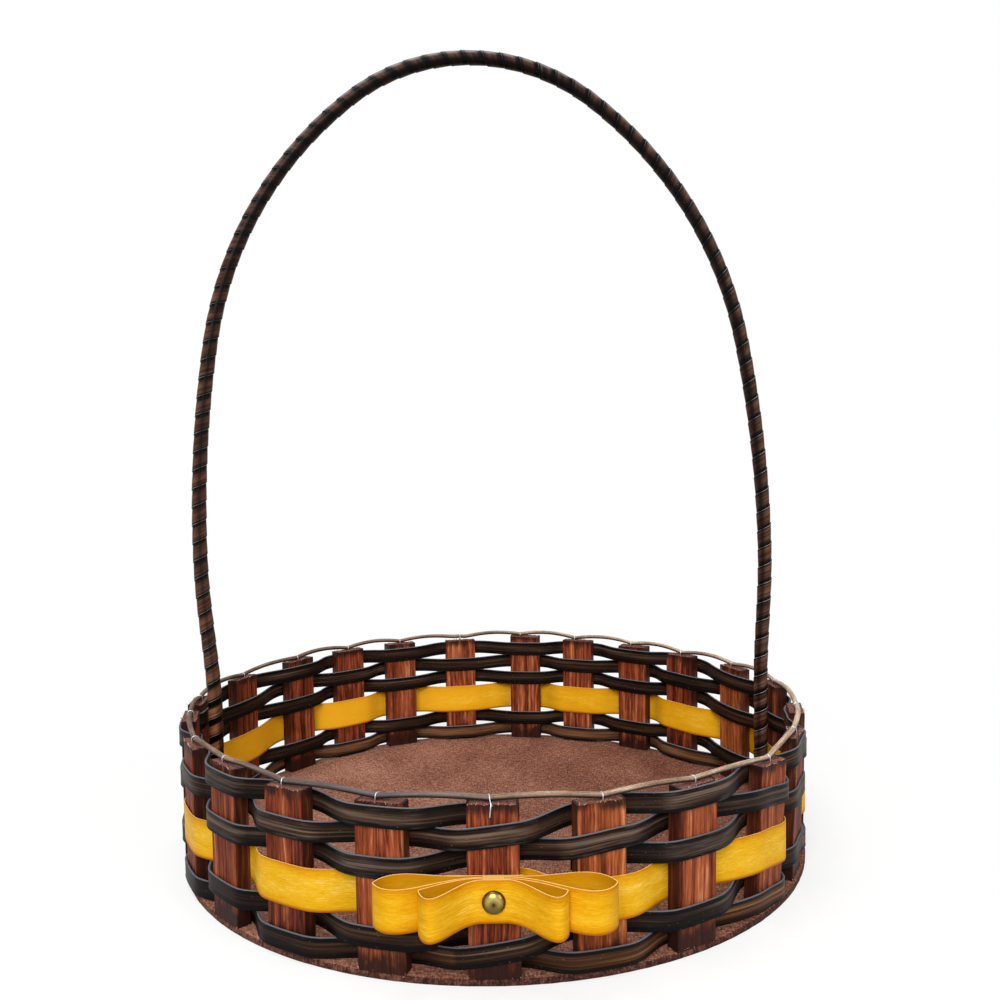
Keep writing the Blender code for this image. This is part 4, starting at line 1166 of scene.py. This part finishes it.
handle = {
    "height": 448.1 * mm, "outside": 4.172 * mm, "footRadius": 160.73 * mm,
    "leftFoot": -85.7, "rightFoot": 94.8,  # degrees round the wall
    "flare": 4.0 * mm, "lean": 0.0197, "arcs": ((0.693, 37.0), (1.346, 42.4), (4.16, 10.6)),
    "bendSteps": 24, "coreRadius": 3.0 * mm, "coreRings": 220, "coreSides": 20,
    "pitches": (10.1 * mm, 11.07 * mm), "phase": 0.38, "lap": 1.3 * mm, "points": 32, "startGap": 0.3 * mm,
    "high": 4.14 * mm, "low": 3.7 * mm, "thickness": 0.3 * mm,  # the strip's start edge laps over the turn before
    "bead": (0.45 * mm, 0.3 * mm), "beadHeight": 0.08 * mm, "bulge": 0.1 * mm, "uneven": 0.012,
    # across the strip, each point: mm from its start edge, share of the half width, darkness of the seam with its
    # painted shade
    "startPoints": ((0.2, 0.88, 0.0), (0.4, 0.86, 0.0), (0.55, 0.74, 0.85), (0.9, 0.7, 0.9),
                    (1.3, 0.5, 0.2), (2.2, 0.3, 0.06), (4.0, 0.1, 0.0)),
    # the same, from its end edge
    "endPoints": ((5.6, 0.2, 0.0), (4.9, 0.25, 0.12), (4.0, 0.4, 0.3), (3.0, 0.6, 0.62),
                  (2.2, 0.7, 0.92), (1.6, 0.75, 1.0), (0.2, 0.78, 1.0)),
    # crownShade is painted shade under the crown of the arch
    "crown": (0.5, 0.2), "crownSeamShade": 0.6, "crownShade": 0.35, "crownDarkening": 0.3,  # darker at the top of the arch
    # goldenInside is painted shade on the inside of the arch by the left foot
    "golden": (40.0 * mm, 42.0 * mm, 4), "goldenSeamShade": 6.5, "goldenInside": 0.85,  # golden brown by the left foot
    "tones": (0.1, 0.8, 0.4, 0.25),  # everywhere, where it is golden, in patches there, in patches everywhere
    # the sheen is a painted highlight where the strip faces up
    "sheen": (0.25, 1.5, 0.6),  # from how far up, how fast and how much
    # each row: share of the length, then where the painted shade lies (1 is the inside of the arch), how deep and how
    # wide
    "shade": (
        (0.06, 0.42, 0.55, 0.2), (0.1, 0.3, 0.55, 0.25), (0.18, 0.18, 0.8, 0.52), (0.305, 0.28, 0.9, 0.52),
        (0.42, 0.55, 0.95, 0.6), (0.52, 0.57, 0.97, 0.6), (0.62, 0.55, 0.95, 0.62), (0.72, 0.5, 0.95, 0.58),
        (0.8, 0.5, 0.92, 0.5), (0.88, 0.58, 0.82, 0.36), (1.0, 0.58, 0.7, 0.3),
    ),
}


def handleRoute():
    feet = []
    for degrees in (handle["leftFoot"], handle["rightFoot"]):
        angle = math.radians(degrees)
        feet.append(Vector((math.sin(angle), -math.cos(angle), 0)) * handle["footRadius"])
    middle = (feet[0] + feet[1]) / 2
    along = (feet[1] - feet[0]).normalized()
    footSpan = (feet[1] - feet[0]).length / 2
    span = footSpan + handle["flare"]
    across = drop = slope = 0.0
    half = [(0.0, 0.0)]
    steps = handle["bendSteps"]
    for radiusShare, sweep in handle["arcs"]:
        for _ in range(steps):
            turn = math.radians(sweep) / steps
            across += radiusShare * span * turn * math.cos(slope + turn / 2)
            drop += radiusShare * span * turn * math.sin(slope + turn / 2)
            slope += turn
            half.append((across, drop))
    top = handle["height"] - handle["outside"]
    half = [(x * span / across, top - z) for x, z in half]
    widest = half[-1][1]
    for step in range(1, steps + 1):
        share = step / steps
        ease = share * share * (3 - 2 * share)
        half.append((span - handle["flare"] * ease, widest + (wall["end"] - widest) * share))
    half.append((footSpan, wall["foot"]))
    outline = [(-x, z) for x, z in reversed(half)] + half[1:]
    points = []
    for x, z in outline:
        lean = handle["lean"] * max(z - wall["end"], 0.0)
        points.append(middle + along * (x - lean) + up * z)
    return points, along.cross(up)


railPoints, railSide = handleRoute()
railMarks = [0.0]
for before, after in zip(railPoints, railPoints[1:]):
    railMarks.append(railMarks[-1] + (after - before).length)
railTangents = []
for i in range(len(railPoints)):
    before, after = railPoints[max(i - 1, 0)], railPoints[min(i + 1, len(railPoints) - 1)]
    railTangents.append((after - before).normalized())


def railSpot(distance, radius, angle):
    i = min(max(bisect.bisect_left(railMarks, distance), 1), len(railMarks) - 1)
    share = (distance - railMarks[i - 1]) / (railMarks[i] - railMarks[i - 1])
    point = railPoints[i - 1].lerp(railPoints[i], share)
    run = railTangents[i - 1].lerp(railTangents[i], share).normalized()
    rise = run.cross(railSide).normalized()
    return point + (railSide * math.cos(angle) + rise * math.sin(angle)) * radius


def makeCore():
    stations, sides = handle["coreRings"], handle["coreSides"]
    verts = []
    for station in range(stations + 1):
        distance = railMarks[-1] * station / stations
        verts += [railSpot(distance, handle["coreRadius"], math.tau * j / sides) for j in range(sides)]
    addPiece("handle_rod", verts, tubeFaces(stations + 1, sides), [caneRod], ["handle_core"], crisp=60)


def between(rows, place):
    # the row of numbers at a place between the rows of a table
    for low, high in zip(rows, rows[1:]):
        if place <= high[0]:
            break
    share = ramp(place, low[0], high[0] - low[0])
    return [a + (b - a) * share for a, b in zip(low[1:], high[1:])]


def makeWrap():
    # wound a little closer at the left foot than at the right one
    first, last = handle["pitches"]
    half = (last + handle["lap"]) / 2
    start = half + handle["startGap"]
    turns = (railMarks[-1] - 2 * start) * 2 / (first + last)
    count = int(turns * handle["points"])
    high, low, thick = handle["high"], handle["low"], handle["thickness"]

    def outside(u, half):
        bead = handle["beadHeight"] * bell(u + half, *handle["bead"])
        return high + (low - high) * (u + half) / (2 * half) + bead + handle["bulge"] * (1 - (u / half) ** 2)

    verts, places, forms, wears = [], [], [], []
    around = math.tau * high / handle["points"]
    tones, (litFrom, litSlope, litMost) = handle["tones"], handle["sheen"]
    for i in range(count + 1):
        turn = i / handle["points"]
        share = turn / turns
        middle = start + first * turn + (last - first) * turn * share / 2
        half = (first + (last - first) * share + handle["lap"]) / 2
        # each point: place across, distance from the rod's middle, share of the half width, darkness of the seam with
        # its painted shade
        section = [(-half, outside(-half, half) - thick * 0.6, 1.1, 0.9)]
        section += [(-half + 0.07 * mm, outside(-half, half) - 0.1 * mm, 1.0, 0.3)]
        for place, edge, dark in handle["startPoints"]:
            section.append((place * mm - half, outside(place * mm - half, half), edge, dark))
        for place, edge, dark in handle["endPoints"]:
            section.append((half - place * mm, outside(half - place * mm, half), edge, dark))
        section += [(half, outside(half, half) - thick * 0.5, 0.78, 1.0)]
        section += [(u, outside(u, half) - thick, 0.7, 1.0) for u in (half - 0.2 * mm, 0.0, -half + 0.2 * mm)]
        angle = math.tau * (turn + handle["phase"])
        size = 1 + handle["uneven"] * wave(i * 0.05, 31)
        crown, golden = bell(share, *handle["crown"]), bell(middle, *handle["golden"])
        side = math.sin(angle)  # 1 on the side towards the middle of the arch
        where, depth, width = between(handle["shade"], share)
        # painted shade on the inside of the arch and under its crown
        inner = depth * bell(side, where, width)
        inner += (handle["goldenInside"] * ramp(side, 0.3, 0.4) - inner) * golden
        under = crown * ramp(side, -0.45, 0.25)
        tone = tones[0] + golden * (tones[1] + tones[2] * wave(i * 0.06, 33)) + tones[3] * wave(i * 0.02, 35)
        for u, radius, edge, dark in section:
            seamAndShade = handle["goldenSeamShade"] * golden if u > 0 else 0.0
            dark = min(dark * (1 + seamAndShade + handle["crownSeamShade"] * crown), 1.0)
            spot = railSpot(middle + u, radius * size, angle)
            lit = (spot - railSpot(middle + u, 0.0, angle)).normalized().z
            verts.append(spot)
            places.append((i * around, u, 0.9))
            forms.append((edge * (1 - 0.14 * crown), 1.0, min(max(tone, 0.0), 1.0)))
            # painted shade: the seam's dark zone, the inside of the arch and under the crown
            shade = 1 - (1 - dark) * (1 - inner) * (1 - handle["crownShade"] * under)
            # a painted sheen where the strip faces up, and along the inside of the crown
            sheen = min(max(lit - litFrom, 0.0) * litSlope, litMost) + crown * max(side - 0.85, 0.0) * 2
            wears.append((-handle["crownDarkening"] * crown, shade, sheen * (1 - 0.7 * dark)))
    marks = {"stripPlace": places, "stripForm": forms, "stripWear": wears}
    faces = tubeFaces(count + 1, len(section))
    addPiece("handle_strip", verts, faces, [wrapStrip], ["handle_wrap"], marks, 50)


makeCore()
makeWrap()
for name in ("handle_nail_left", "handle_nail_right"):
    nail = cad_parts[name]
    nail.data.materials.clear()
    nail.data.materials.append(steel)
print("handle wrapped")


# Bow: two flattened loops and a domed tack

bow = {
    "height": 18.4 * mm, "thickness": 0.7 * mm, "layer": 0.85 * mm, "flat": 5.0 * mm, "tail": 4.4 * mm,
    "behindStart": 12.5 * mm, "power": 2, "tipPower": 0.8, "steps": 36, "seat": 175.3 * mm, "lift": 5.4 * mm,
    # each side: from the tack to its tip, fullness in front and behind, how far the tip stands out
    "large": ((49.2 * mm, 8.5 * mm, 5.6 * mm, 4.2 * mm), (50.3 * mm, 10.4 * mm, 6.6 * mm, 6.8 * mm)),
    "small": ((30.1 * mm, 10.6 * mm, 0.0, 0.9 * mm), (29.8 * mm, 9.5 * mm, 0.0, 0.9 * mm)),
}
tackHeight = bandRow + bow["lift"]


def swell(share):
    power, tip = bow["power"], bow["tipPower"]
    peak = power / (power + 2 * tip)
    return share**power * (1 - share * share) ** tip / (peak ** (power / 2) * (1 - peak) ** tip)


def loopShare(along, length, flat):
    return ramp(along, flat, length - flat)


def loopLine(sides, start, ride):
    line = []

    def add(side, along, face, layer):
        length, front, behind, reach = sides[0] if side < 0 else sides[1]
        share = loopShare(along, length, bow["flat"])
        full = front * swell(share) if face > 0 else -behind * swell(loopShare(along, length, bow["behindStart"]))
        out = start + ride(side, along) + reach * share * share + full + layer * bow["layer"] * (1 - share * share)
        line.append(Vector((side * along, -out, tackHeight)))

    def addFace(side, face, layer, outwards):
        length = sides[0][0] if side < 0 else sides[1][0]
        steps = range(bow["steps"]) if outwards else reversed(range(bow["steps"]))
        for step in steps:
            share = math.sin(math.pi / 2 * step / bow["steps"])
            add(side, bow["flat"] + (length - bow["flat"]) * share, face, layer)

    add(1, bow["tail"], -1, -1)
    addFace(-1, -1, -1, True)
    add(-1, sides[0][0], 1, 0)
    addFace(-1, 1, 1, False)
    addFace(1, 1, 1, True)
    add(1, sides[1][0], 1, 0)
    addFace(1, -1, 0, False)
    add(-1, bow["tail"], -1, 0)
    return line


def folded(point, distance):
    # the duller back is darkened further with painted shade
    return 1.0  # the loops show their strip's duller back


def makeBow():
    middle = bow["seat"] + 2 * bow["layer"] + bow["thickness"] / 2
    section = stripSection(bow["height"], bow["thickness"])

    def largeFront(side, along):
        length, front, _, reach = bow["large"][0] if side < 0 else bow["large"][1]
        share = loopShare(along, length, bow["flat"])
        return reach * share * share + front * swell(share)

    frontMiddle = middle + 3 * bow["layer"]
    large = loopLine(bow["large"], middle, lambda side, along: 0.0)
    small = loopLine(bow["small"], frontMiddle, largeFront)
    makeRibbon("large_bow_loop", large, section, yellowStrip, ["bow_large_loop"], folded, 13)
    makeRibbon("small_bow_loop", small, section, yellowStrip, ["bow_small_loop"], folded, 17)
    return frontMiddle + bow["layer"] + bow["thickness"] / 2


tack = {
    "shank": 0.8 * mm, "point": 169.0 * mm, "taper": 1.6 * mm, "head": 4.9 * mm, "gap": 0.1 * mm,
    "rise": 2.8 * mm, "rim": 0.5 * mm, "sides": 48, "steps": 12,
}


def makeTack(bowFront):
    seat = bowFront + tack["gap"]
    # each ring: its radius and how far out it stands, from the point to the crown
    profile = [(tack["shank"] * 0.3, tack["point"]), (tack["shank"], tack["point"] + tack["taper"])]
    profile += [(tack["shank"], seat), (tack["head"] - 0.15 * mm, seat), (tack["head"], seat + 0.2 * mm)]
    dome = tack["rise"] - tack["rim"]
    for step in range(tack["steps"]):
        angle = math.pi / 2 * step / tack["steps"]
        profile.append(((tack["head"] - 0.02 * mm) * math.cos(angle), seat + tack["rim"] + dome * math.sin(angle)))
    verts = []
    for radius, out in profile:
        for i in range(tack["sides"]):
            angle = math.tau * i / tack["sides"]
            verts.append(Vector((radius * math.cos(angle), -out, tackHeight + radius * math.sin(angle))))
    faces = tubeFaces(len(profile), tack["sides"])
    brass = brassMaterial(brassLook, tack["head"], tackHeight)
    addPiece("brass_tack", verts, faces, [brass], ["bow_tack"], crisp=42)


makeTack(makeBow())
print("bow tacked on")


# Slat nails, flush under the board

nails = {"head": 2.2 * mm, "thickness": 0.6 * mm, "rim": 0.05 * mm, "sides": 14, "circle": 171.0 * mm}


def makeSlatNails():
    verts, faces = [], []
    for index in range(wall["count"]):
        centre = wallSpot(stakeAngle(index), 0.0, nails["circle"], 0.0)
        start = len(verts)
        for height, size in ((0.0, 0.9), (nails["rim"], 1.0), (nails["thickness"], 1.0)):
            for i in range(nails["sides"]):
                angle = math.tau * i / nails["sides"]
                out = Vector((math.cos(angle), math.sin(angle), 0))
                verts.append(centre + out * nails["head"] * size + up * height)
        faces += tubeFaces(3, nails["sides"], start)
    addPiece("slat_nail_heads", verts, faces, [steel], crisp=50)


makeSlatNails()
